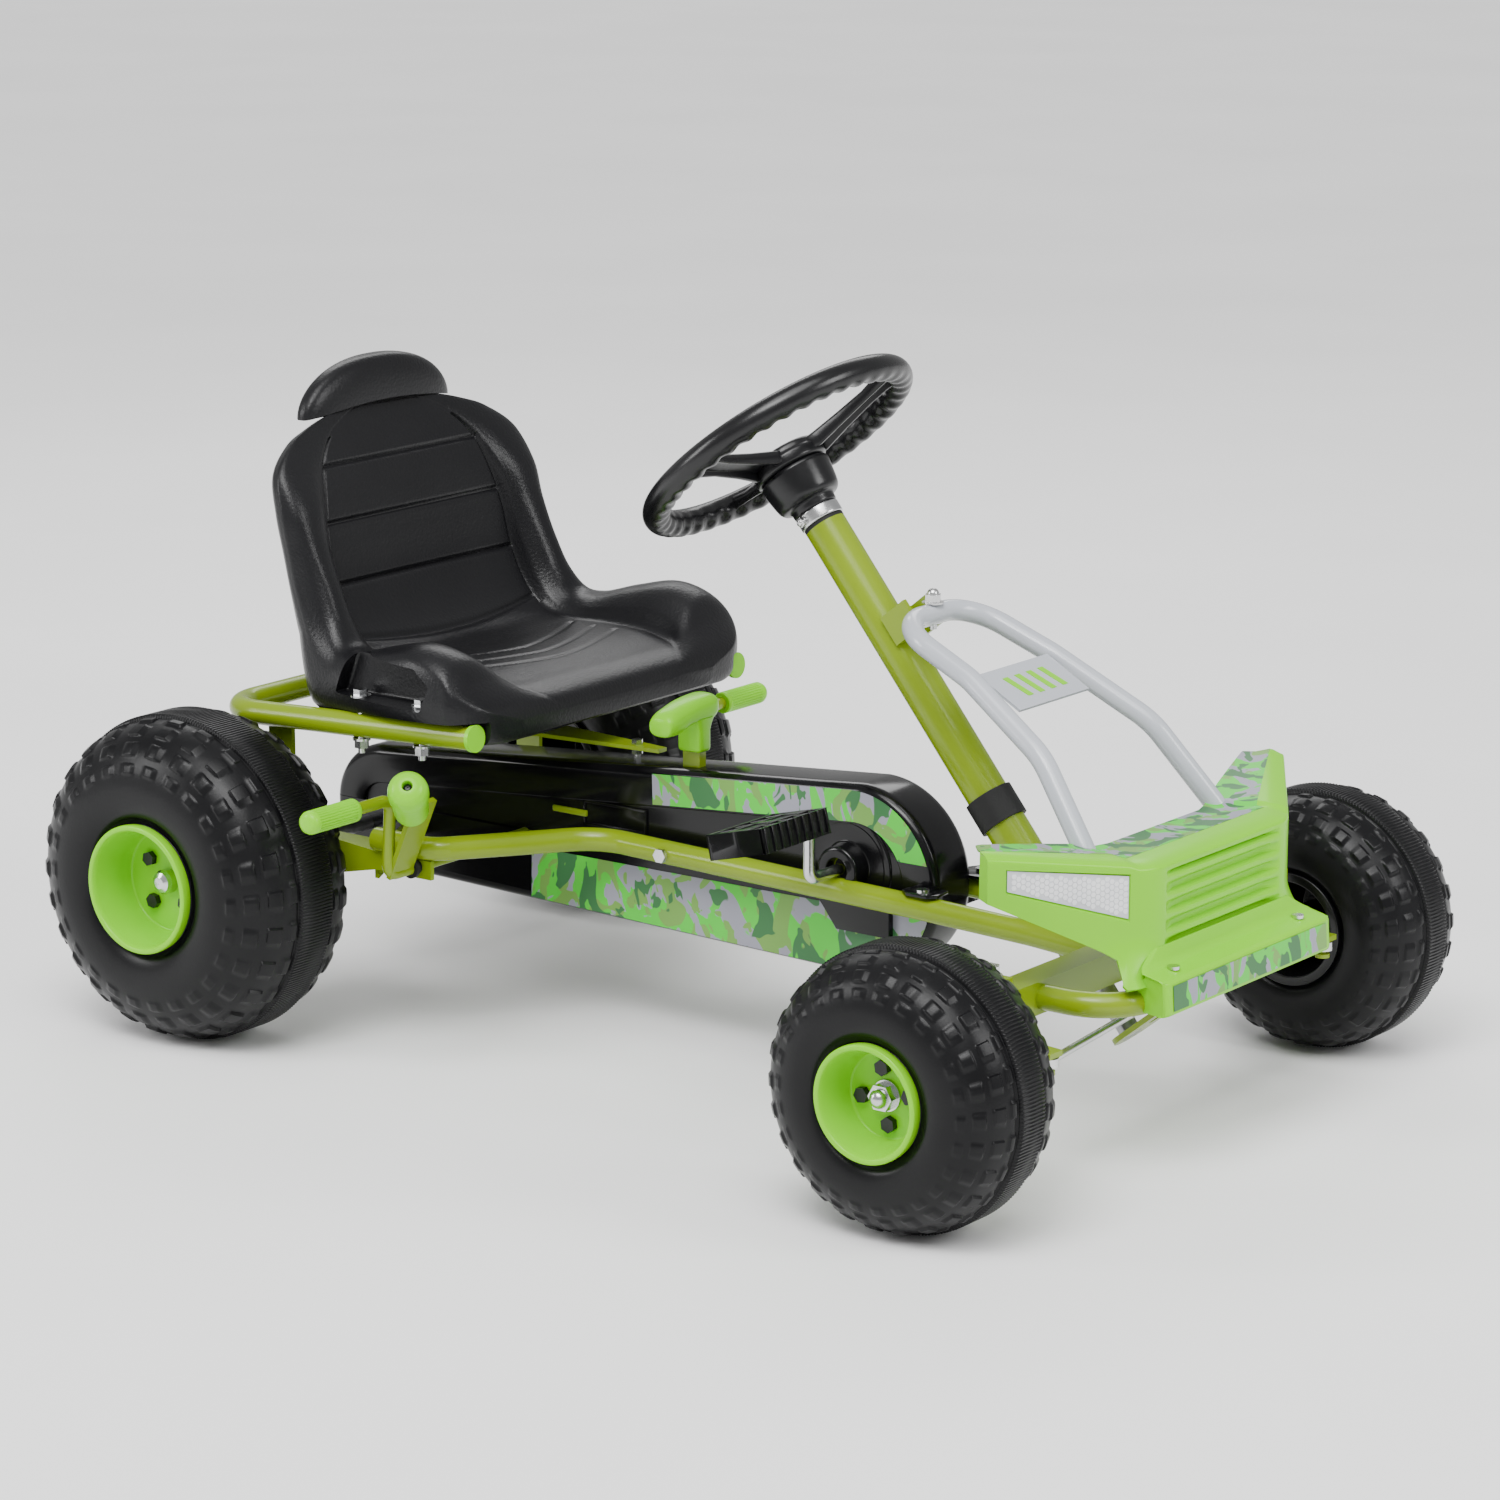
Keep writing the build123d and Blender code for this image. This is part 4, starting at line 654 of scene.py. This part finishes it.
def on_column(u, v, w):
    """A point u forward-up and v left of the column's axis, w up it from the tube's top."""
    return Vector((cx, 0, cz)) + FWD * u + LEFT * v + UP * w


def steering_wheel():
    """The ring with finger scallops underneath, its three webbed spokes and hub."""
    major, minor, waves, height, scallop = 104.5, 10.5, 40, 70, 2.0
    turns, around = waves * 9, 28
    verts = []
    for i in range(turns):
        t = 2 * math.pi * i / turns
        wave = 0.5 - 0.5 * math.cos(waves * t)
        for j in range(around):
            p = 2 * math.pi * j / around
            under = max(0.0, math.cos(p - math.radians(235))) ** 1.5
            r = minor - scallop * under * wave
            reach = major + r * math.cos(p)
            verts.append(on_column(reach * math.cos(t), reach * math.sin(t), height + r * math.sin(p)))
    piece("steering_wheel_ring", verts, grid_faces(turns, around, True, True), "steering",
          WHEELBLACK, ["steering_wheel"], angle=0)
    hub = rounded([(47, 8), (47, 26), (49, 29.3), (56, 29.3), (58, 27.5), (61.5, 27), (63.6, 25), (64, 0.02)],
                  1.2, 3)
    parts = [lathe(hub + [(60, 0.02), (60, 8)], on_column(0, 0, 0), UP, 96)]
    # distance out, half width, and the spoke's lower and upper face at each section
    sections = [(22, 15.5, 50.5, 61.5), (30, 14.5, 51, 62.5), (50, 12.0, 56, 65.5), (75, 10.5, 61.5, 69.5),
                (92, 12.5, 64.5, 74), (99, 15.5, 65, 76)]
    for angle in (30, 150, 270):
        a = math.radians(angle)
        out = FWD * math.cos(a) + LEFT * math.sin(a)
        across = UP.cross(out)
        base = on_column(0, 0, 0)
        verts = []
        for reach, wide, low, high in sections:
            ring = ((-1, low + 3), (-0.92, low), (-0.7, low), (-0.62, high - 5), (0.62, high - 5), (0.7, low),
                    (0.92, low), (1, low + 3), (1, high - 1.6), (0.86, high), (-0.86, high), (-1, high - 1.6))
            verts += [base + out * reach + across * (u * wide) + UP * w for u, w in ring]
        faces = grid_faces(len(sections), len(ring), wrap_cols=True) + end_caps(len(sections), len(ring))
        parts.append((verts, faces))
    verts, faces = merge(parts)
    piece("steering_wheel_spokes", verts, faces, "steering", WHEELBLACK, bevel=0.6,
          segments=2, angle=35)


steering_wheel()
boss = rounded([(13.0, 8), (13.0, 17.5), (19.5, 17.8), (20.5, 22.8), (24, 25.2), (30, 26.4), (44.5, 28.5),
                (47, 27.2), (47, 8)], 2.2, 4)
verts, faces = lathe(boss, on_column(0, 0, 0), UP, 96)
piece("steering_boss_moulded", verts, faces, "steering", WHEELBLACK, ["steering_boss"],
      angle=40)
band = rounded([(2.9, 8.2), (2.9, 16.6), (4.0, 17.2), (12.0, 17.2), (12.9, 16.6), (12.9, 8.2)], 0.7, 3)
aim = (LEFT * -0.985 + FWD * -0.17).normalized()
hexa = [(4.0 * math.cos(math.pi * k / 3), 4.0 * math.sin(math.pi * k / 3)) for k in range(6)]
across = UP.cross(aim)
head = prism(hexa, lambda u, v, w: on_column(0, 0, 8) + across * u + UP * v + aim * w, 17.0, 21.5)
dome = lathe([(21.4, 3.0), (22.6, 2.4), (23.2, 1.2), (23.3, 0.02), (21.0, 0.02)], on_column(0, 0, 8), aim, 24)
verts, faces = merge([lathe(band, on_column(0, 0, 0), UP, 96), head, dome])
piece("steering_collar_plated", verts, faces, "steering", ZINC, ["steering_collar"], bevel=0.3,
      segments=2)

# ---- bumper ----
NOSE_X, CORNER_Y = 445, 89
WING_BACK, WING_OUT = 69, 108
WING_FACING = (0.843, 0.538)
CORNER_T = 0.094
TOP_Z, FRONT_TALL, LIP_Z = 228, 81.5, 146.5
SLAT_PITCH = 13.4
WING_STATIONS = (1.0, 0.985, 0.96, 0.93, 0.905, 0.893, 0.885, 0.8, 0.7, 0.6, 0.5, 0.4, 0.3, 0.22, 0.165,
                 0.157, 0.145, 0.11)


def wing_height(t, z):
    """Height on the wing, t along it, that belongs to a height on the slatted front."""
    if t <= CORNER_T:
        return z
    top = TOP_Z + 17 * min(t / 0.97, 1)
    low = LIP_Z + 17 * min((t - CORNER_T) / 0.11, 1) ** 2.2 + 48 * max(t - 0.204, 0) / 0.77
    upper, lower = 224.5 + 15.5 * (t - 0.17), 191 + 39.4 * (t - 0.17)
    f = (TOP_Z - z) / FRONT_TALL
    stops = [(0, top), (0.07, upper), (0.42, lower), (1, low)]
    reach = min((t - CORNER_T) / 0.06, 1)
    mapped = float(np.interp(f, [a for a, _ in stops], [b for _, b in stops]))
    return mapped * reach + z * (1 - reach)


def bumper():
    """The moulded nose: slatted front, two framed wings, a top band and a lip."""
    # height and x of the slatted front from its top down
    slats = [(TOP_Z, NOSE_X), (224.6, NOSE_X), (222.6, 444.6), (221.4, 441.4)]
    for k in range(5):
        low = 153.5 + (4 - k) * SLAT_PITCH
        slats += [(low + dz, x) for dz, x in ((12.8, 439.8), (11.9, 443.2), (10.6, 444.8), (7.4, 444.8),
                                              (6.1, 443.4), (4.8, 440.0), (3.4, 439.0), (0.9, 439.2))]
    slats += [(152.6, 442.6), (150.6, NOSE_X), (LIP_Z, NOSE_X)]
    # columns across the nose: x, y, outward direction and distance along the wing
    half_columns = [(NOSE_X - WING_BACK * t, CORNER_Y + WING_OUT * t, *WING_FACING, t) for t in WING_STATIONS]
    for k in range(9):
        q = k / 8
        a, b, c = (438.5, 99.2), (NOSE_X, CORNER_Y), (NOSE_X, 78)
        x, y = [(1 - q) ** 2 * a[i] + 2 * q * (1 - q) * b[i] + q * q * c[i] for i in (0, 1)]
        nx, ny = WING_FACING[0] + (1 - WING_FACING[0]) * q, WING_FACING[1] * (1 - q)
        size = math.hypot(nx, ny)
        half_columns.append((x, y, nx / size, ny / size, CORNER_T * (1 - q)))
    half_columns += [(NOSE_X, y, 1.0, 0.0, 0.0) for y in (76.5, 75, 60, 40, 20)]
    columns = [(x, -y, nx, -ny, t) for x, y, nx, ny, t in half_columns] + [(NOSE_X, 0.0, 1.0, 0.0, 0.0)]
    columns += list(reversed(half_columns))

    rows = []
    band = []
    for x, y, nx, ny, t in columns:
        sign = 1 if y > 0 else -1
        top = wing_height(t, TOP_Z)
        if t > CORNER_T:
            inner = (421 - 55 * t, sign * (80 + 112 * t))
        else:
            inner = (421, y * 0.93)
        back = (inner[0] + 0.25 * (x - inner[0]), inner[1] + 0.25 * (y - inner[1]))
        line = [(inner[0], inner[1], top + 3.2), (back[0], back[1], top + 2.8)]
        for inset, drop in ((5.0, -1.2), (2.6, 0.0), (1.2, 0.5), (0.4, 1.3)):
            line.append((x - nx * inset, y - ny * inset, top - drop))
        for z, depth in slats:
            height = wing_height(t, z) - (2.6 if z == TOP_Z else 0)
            sunk = (depth - NOSE_X) * float(step(np.array(76 - abs(y)), 2.0, 4.0)) if t == 0 else 0.0
            f = (TOP_Z - z) / FRONT_TALL
            if 0.157 < t < 0.893 and 0.075 < f < 0.415:
                sunk = -2.2
            elif 0.145 <= t <= 0.905 and 0.04 < f < 0.45:
                sunk = 0.0
            q = min(max((182 - height) / 35.5, 0), 1) ** 2 * min(max((0.36 - t) / 0.22, 0), 1)
            line.append((x + nx * sunk + 6.5 * q, y + ny * sunk + sign * 22 * q * min(abs(y) / CORNER_Y, 1),
                         height))
        rows.append(line)
        band.append(line[0])
    verts = [p for line in rows for p in line]
    faces = grid_faces(len(rows), len(rows[0]))
    # the wings' ends are closed
    count = len(rows[0])
    for first in (0, (len(rows) - 1) * count):
        x, y, z = verts[first]
        verts.append((x - 1, y * 0.995, verts[first + count - 1][2] + 1))
        faces.append(tuple([first] + list(range(first + 2, first + count)) + [len(verts) - 1]))
    # lip along the bottom, with rounded ends
    lip = [(446, 170), (448.4, 160), (452, 156.6), (466, 153.4), (468.6, 151.6), (470, 131), (469, 128.2),
           (466, 127.4)]
    soft = rounded([(x, 0, z) for x, z in lip], 2.4, 4)
    lip_verts = []
    ends = [-112, -111.6, -110.4, -107.5, -60, 0, 60, 107.5, 110.4, 111.6, 112]
    drop = [3.4, 2.0, 0.8, 0, 0, 0, 0, 0, 0.8, 2.0, 3.4]
    for x, _, z in soft:
        for y, d in zip(ends, drop):
            lip_verts.append((x - d, y * (1 if z < 157 else 0.8 + 0.2 * (170 - z) / 13), z))
    verts, faces = merge([(verts, faces), (lip_verts, grid_faces(len(soft), len(ends)))])
    # ends of the lip turn back
    turned = [(452, 111, 156), (466.5, 111.6, 152.6), (468, 111.8, 129), (462, 111, 127.6), (440, 106, 127.8),
              (432, 103, 131), (440, 106, 138), (446, 108, 150)]
    lip_ends = [([(x, sign * y, z) for x, y, z in turned], [tuple(range(len(turned)))]) for sign in (-1, 1)]
    verts, faces = merge([(verts, faces)] + lip_ends)
    piece("bumper_cover_moulded", verts, faces, "kart_frame", LIME, ["bumper_cover"],
          solidify=2.4, angle=42)
    # camouflage film over the hollow top behind the band, and along the lip
    film = []
    for x, y, z in band:
        t = max((abs(y) - 74) / 118, 0)
        back = (386 - 34 * t, y * (0.82 + 0.1 * min(t, 1)), z - 1.0)
        film += [(x + 0.6, y, z + 0.15), ((x + back[0]) / 2, (y + back[1]) / 2, z - 1.6), back]
    piece("bumper_top_film", film, grid_faces(len(band), 3), "kart_frame", CAMO, solidify=1.2,
          angle=60)
    strip = [(469.3, -104, 149.6), (469.3, 104, 149.6), (470.4, 104, 131.4), (470.4, -104, 131.4)]
    piece("bumper_lip_film", strip, [(0, 1, 2, 3)], "kart_frame", CAMO, solidify=0.3,
          smooth=False)


bumper()


def reflectors():
    """White reflector panels: a honeycomb of small raised cells on a silver ground."""
    cells, ground = [], []
    facing_x, facing_y = WING_FACING
    for s in (1, -1):
        def at(t, z, out):
            """A point t millimetres along the wing from its corner."""
            return (NOSE_X - facing_y * t + facing_x * out, s * (CORNER_Y + facing_x * t + facing_y * out), z)
        corners = [(21, 192.5), (21, 223), (113, 235.2), (113, 220.5)]
        ground.append(prism(corners, at, -2.6, -0.9))
        size = 2.35
        for i in range(28):
            for j in range(16):
                t = 23.5 + i * size * 1.5
                z = 190 + j * size * 1.732 + (i % 2) * size * 0.866
                low = 192.5 + (t - 21) * (28 / 92) + 2.6
                high = 223 + (t - 21) * (12.2 / 92) - 2.6
                if t > 110.5 or not low < z < high:
                    continue
                reach = size - 0.35
                turns = [math.pi * k / 3 for k in range(6)]
                ring = [(t + reach * math.cos(a), z + reach * math.sin(a)) for a in turns]
                cells.append(prism(ring, at, -1.0, -0.55))
    verts, faces = merge(ground)
    piece("bumper_reflector_ground", verts, faces, "kart_frame", SILVER,
          ["bumper_reflectors"], smooth=False)
    verts, faces = merge(cells)
    piece("bumper_reflector_cells", verts, faces, "kart_frame", WHITE, smooth=False)


reflectors()

# ---- pedals ----
RIB_STEP = 9.2
PEDAL_TILT, PEDAL_OUT = -14, 122


def pedal(label, side, height):
    """An open moulded pedal: a rim, ribs across its faces and a sleeve for its pin."""
    parts = [box_mesh(-26, 26, -40, -37, -9.5, 9.5), box_mesh(-26, 26, 37, 40, -9.5, 9.5),
             box_mesh(-26, -23, -40, 40, -9.5, 9.5), box_mesh(23, 26, -40, 40, -9.5, 9.5),
             box_mesh(-24, 24, -38, 38, -3, 3), box_mesh(-7.5, 7.5, -39, 39, -8.4, 8.4)]
    for k in range(-4, 5):
        y = k * RIB_STEP
        for x in (-26.2, 26.2):
            parts.append(box_mesh(x - 0.9, x + 0.9, y - 1.2, y + 1.2, -9.2, 9.2))
    for lean in (-1, 1):
        for k in range(-4, 4):
            low, high = (k, k + 1) if (k + lean) % 2 else (k + 1, k)
            near, far = low * RIB_STEP, high * RIB_STEP
            bar = [(lean * 9.5, near), (lean * 11.4, near), (lean * 23.5, far), (lean * 21.6, far)]
            parts.append(prism(bar, lambda u, v, w: (u, v, w), -9.0, 9.0))
        parts.append(box_mesh(*sorted((lean * 8, lean * 10)), -38, 38, -9.2, 9.2))
    for k in (-3, 0, 3):
        parts.append(box_mesh(-9, 9, k * 11 - 4.5, k * 11 + 4.5, -9.3, 9.3))
    verts, faces = merge(parts)
    turn = Matrix.Rotation(math.radians(PEDAL_TILT), 3, "Y")
    pin = Vector((CRANK[0], side * PEDAL_OUT, height))
    placed = [turn @ Vector((x, y, z - 1.0)) + pin for x, y, z in verts]
    piece(f"pedal_{label}_moulded", placed, faces, f"{label}_pedal", WHEELBLACK,
          [f"pedal_{label}"], bevel=0.45, segments=2)


pedal("right", -1, 211.5)
pedal("left", 1, 119.5)

# ---- brake grips ----
SLEEVE_AXIS = (-176, 0, 203)
KNOB_FOOT = (-154, -187, 197)
FLUTES = 26


def fluted(profile, origin, axis, flutes, deep, ribbed, turns):
    """A spun grip whose profile points flagged in ribbed carry flutes round it."""
    axis = Vector(axis).normalized()
    side = axis.orthogonal().normalized()
    other = axis.cross(side)
    verts = []
    for (d, r), has in zip(profile, ribbed):
        for k in range(turns):
            t = 2 * math.pi * k / turns
            rr = r - (deep * (0.5 + 0.5 * math.cos(flutes * t)) ** 2 if has else 0)
            verts.append(Vector(origin) + axis * d + (side * math.cos(t) + other * math.sin(t)) * rr)
    return verts, grid_faces(len(profile), turns, wrap_rows=True, wrap_cols=True)


parts = []
for side in (-1, 1):
    profile = [(227, 4.9), (227, 8.0), (227.8, 8.8), (229, 9.0), (231, 9.0), (232, 9.0), (272, 9.0),
               (273, 9.0), (275, 9.0), (277, 8.9), (279.4, 7.8), (280.7, 5.6), (281.0, 3.0), (281.0, 0.05),
               (279.4, 0.05), (279.2, 4.9)]
    flags = [0, 0, 0, 0, 0, 1, 1, 0, 0, 0, 0, 0, 0, 0, 0, 0]
    parts.append(fluted(profile, SLEEVE_AXIS, (0, side, 0), FLUTES, 0.9, flags, FLUTES * 8))
verts, faces = merge(parts)
piece("brake_sleeves_fluted", verts, faces, "brake", LIME, ["brake_sleeves"], angle=45)

knob = rounded([(0, 0.05), (0, 11.5), (1.0, 12.8), (3, 13.3), (18, 14.0), (30, 14.6), (31.5, 15.6),
                (39, 15.6), (44, 14.4), (47.6, 11.4), (49.4, 7.6), (50, 4.4), (49.2, 3.9), (43, 3.7),
                (43, 0.05)], 1.4, 4)
knob_axis = Vector((0.48, -0.64, 0.60)).normalized()
verts, faces = lathe(knob, KNOB_FOOT, knob_axis, 96)
piece("brake_knob_moulded", verts, faces, "brake", LIME, ["brake_knob"], angle=40)
verts, faces = lathe([(43.2, 0.05), (43.2, 3.4), (44.6, 3.2), (45.2, 2.0), (45.3, 0.9), (44.3, 0.6),
                      (44.3, 0.05)],
                     KNOB_FOOT, knob_axis, 32)
piece("brake_knob_screw", verts, faces, "brake", BLACKSTEEL)

# ---- shift handle ----
SHIFT_X, SLEEVE_Y = -23, -8


def shift_handle():
    """The T-shaped grip: a rounded head that droops at one end, on a sleeve."""
    sections = [(-51.5, 249.5, 259.0, 8.0), (-50, 247.4, 262.5, 10.6), (-44.5, 246.8, 266.0, 11.8),
                (-35, 247.4, 268.8, 12.3), (-26, 251.0, 270.8, 12.7), (-16, 251.5, 272.4, 13.0),
                (-6, 251.0, 273.2, 13.0), (3, 251.5, 273.2, 12.4), (9, 254.5, 271.4, 10.6),
                (12, 258.5, 268.0, 7.0)]
    line = smooth_curve(sections, 5)
    verts, ring = [], 28
    for y, low, high, wide in line:
        mid, tall = (low + high) / 2, (high - low) / 2
        for k in range(ring):
            t = 2 * math.pi * k / ring
            c, s = math.cos(t), math.sin(t)
            verts.append((SHIFT_X + wide * power(c, 0.75), y, mid + tall * power(s, 0.8)))
    faces = grid_faces(len(line), ring, wrap_cols=True) + end_caps(len(line), ring)
    head = (verts, faces)
    sleeve_rows = [(229.6, 9.6, 6.6), (230.4, 10.6, 7.6), (232, 11, 8), (246, 11, 8), (251, 11.4, 9.5),
                   (256, 12.4, 12)]
    verts = []
    for z, a, b in sleeve_rows:
        for k in range(ring):
            t = 2 * math.pi * k / ring
            c, s = math.cos(t), math.sin(t)
            verts.append((SHIFT_X + a * power(c, 0.35), SLEEVE_Y + b * power(s, 0.35), z))
    faces = grid_faces(len(sleeve_rows), ring, wrap_cols=True) + end_caps(len(sleeve_rows), ring)
    verts, faces = merge([head, (verts, faces)])
    piece("shift_handle_moulded", verts, faces, "shift", LIME, ["shift_handle"], angle=50)


shift_handle()

# ---- finishes of the CAD nodes that stay ----
FINISH = {
    OLIVE: ["frame_tube_right", "frame_tube_left", "rear_bracket_right", "rear_bracket_left",
            "front_axle_beam", "bumper_tube", "column_tube", "column_saddle", "seat_rail", "seat_bracket",
            "brake_bar", "shift_lever", "knuckle_right", "knuckle_left", "pitman_arm"],
    GREY: ["hoop", "number_plate"],
    ZINC: ["hoop_bolt", "cover_screws", "seat_bolts", "kingpin_bolts", "tie_rod_right", "tie_rod_left",
           "axle_caps", "frame_bolts", "crank"],
    STEEL: ["rear_axle", "steering_shaft", "chain", "chainring", "rear_sprocket"],
    BLACKSTEEL: ["rear_rim_bolts", "front_rim_bolts_right", "front_rim_bolts_left"],
    RUBBER: ["column_band", "frame_bushes"],
    LIME: ["rail_caps"],
    CAMO: ["case_decals"],
}
for finish, names in FINISH.items():
    for name in names:
        mesh = NODES[name].data
        mesh.materials.clear()
        mesh.materials.append(finish)
        mesh.polygons.foreach_set("use_smooth", [True] * len(mesh.polygons))
        mesh.set_sharp_from_angle(angle=math.radians(32))


NUT_FROM_Y = 300.5


def second_finish(name, finish, wanted):
    """Gives the faces of a kept node whose centre (in millimetres) passes a test another finish."""
    mesh = NODES[name].data
    world = NODES[name].matrix_world
    mesh.materials.append(finish)
    for face in mesh.polygons:
        if wanted(world @ face.center / MM):
            face.material_index = 1


for label in SIDES:
    second_finish(f"knuckle_{label}", ZINC, lambda c: abs(c.y) > NUT_FROM_Y)


def plate_bars():
    """Plain green slanted bars on the plate."""
    slope = Vector((0.870, 0, -0.494))
    normal = Vector((0.494, 0, 0.870))
    plate = NODES["number_plate"]
    top = max((plate.matrix_world @ v.co / MM).dot(normal) for v in plate.data.vertices)
    middle = Vector((280.5, 0, 320.5))
    middle += normal * (top - middle.dot(normal))
    bars = []
    for k in range(4):
        y = -27 + k * 15
        outline = [(-11, y), (-11, y + 6.5), (11, y + 12.5), (11, y + 6)]
        bars.append(prism(outline, lambda u, v, w: middle + slope * u + LEFT * v + normal * w, -0.1, 0.35))
    verts, faces = merge(bars)
    piece("number_plate_bars", verts, faces, "kart_frame", LIME, smooth=False)


plate_bars()

# ---- floor, light, camera ----
WORLD_STRENGTH = 0.5
SUN_STRENGTH, SUN_SPREAD, SUN_TURN = 2.9, 50, (24, 14)
LENS, SENSOR = 114.58, 36.0
CAMERA_PLACE = (2.1468, -2.8197, 1.0699)
CAMERA_AIM = (-0.58526, 0.77746, -0.23027)


def stage_floor():
    """A wide, flat, pale floor."""
    reach = 40.0
    steps = np.linspace(-reach, reach, 9)
    verts = [(x, y, 0.0) for x in steps for y in steps]
    mesh = bpy.data.meshes.new("floor")
    mesh.from_pydata(verts, [], grid_faces(len(steps), len(steps)))
    floor = bpy.data.objects.new("floor", mesh)
    bpy.context.scene.collection.objects.link(floor)
    mesh.polygons.foreach_set("use_smooth", [True] * len(mesh.polygons))
    paper = material("pale_floor", (0.90, 0.90, 0.90), (0.93, 0.93, 0.93), 0.6, scale=2.0, bump=0.02)
    mesh.materials.append(paper)


stage_floor()
world = bpy.data.worlds.new("studio")
bpy.context.scene.world = world
world.use_nodes = True
world.node_tree.nodes["Background"].inputs["Color"].default_value = (1.0, 1.0, 1.0, 1)
world.node_tree.nodes["Background"].inputs["Strength"].default_value = WORLD_STRENGTH


def area_light(name, place, target, size, power):
    """A soft rectangular lamp aimed at a point."""
    data = bpy.data.lights.new(name, "AREA")
    data.shape = "RECTANGLE"
    data.size, data.size_y = size
    data.energy = power
    lamp = bpy.data.objects.new(name, data)
    bpy.context.scene.collection.objects.link(lamp)
    lamp.location = place
    lamp.rotation_euler = (Vector(target) - Vector(place)).to_track_quat("-Z", "Y").to_euler()


area_light("key", (0.7, -1.9, 2.9), (0, 0, 0.2), (1.5, 1.0), 52)
sun = bpy.data.objects.new("daylight", bpy.data.lights.new("daylight", "SUN"))
sun.data.energy = SUN_STRENGTH
sun.data.angle = math.radians(SUN_SPREAD)
sun.rotation_euler = (math.radians(SUN_TURN[0]), math.radians(SUN_TURN[1]), 0)
bpy.context.scene.collection.objects.link(sun)
area_light("fill", (2.6, 0.4, 1.7), (0.1, 0, 0.25), (1.0, 1.2), 38)
area_light("back", (-1.6, 1.9, 2.1), (0, 0, 0.3), (2.2, 0.8), 24)
area_light("side", (-1.9, -2.0, 1.3), (-0.2, 0, 0.25), (0.7, 1.2), 30)

camera_data = bpy.data.cameras.new("camera")
camera_data.lens = LENS
camera_data.sensor_width = SENSOR
camera_data.clip_end = 50
camera = bpy.data.objects.new("camera", camera_data)
bpy.context.scene.collection.objects.link(camera)
camera.location = CAMERA_PLACE
camera.rotation_euler = Vector(CAMERA_AIM).to_track_quat("-Z", "Y").to_euler()
bpy.context.scene.camera = camera
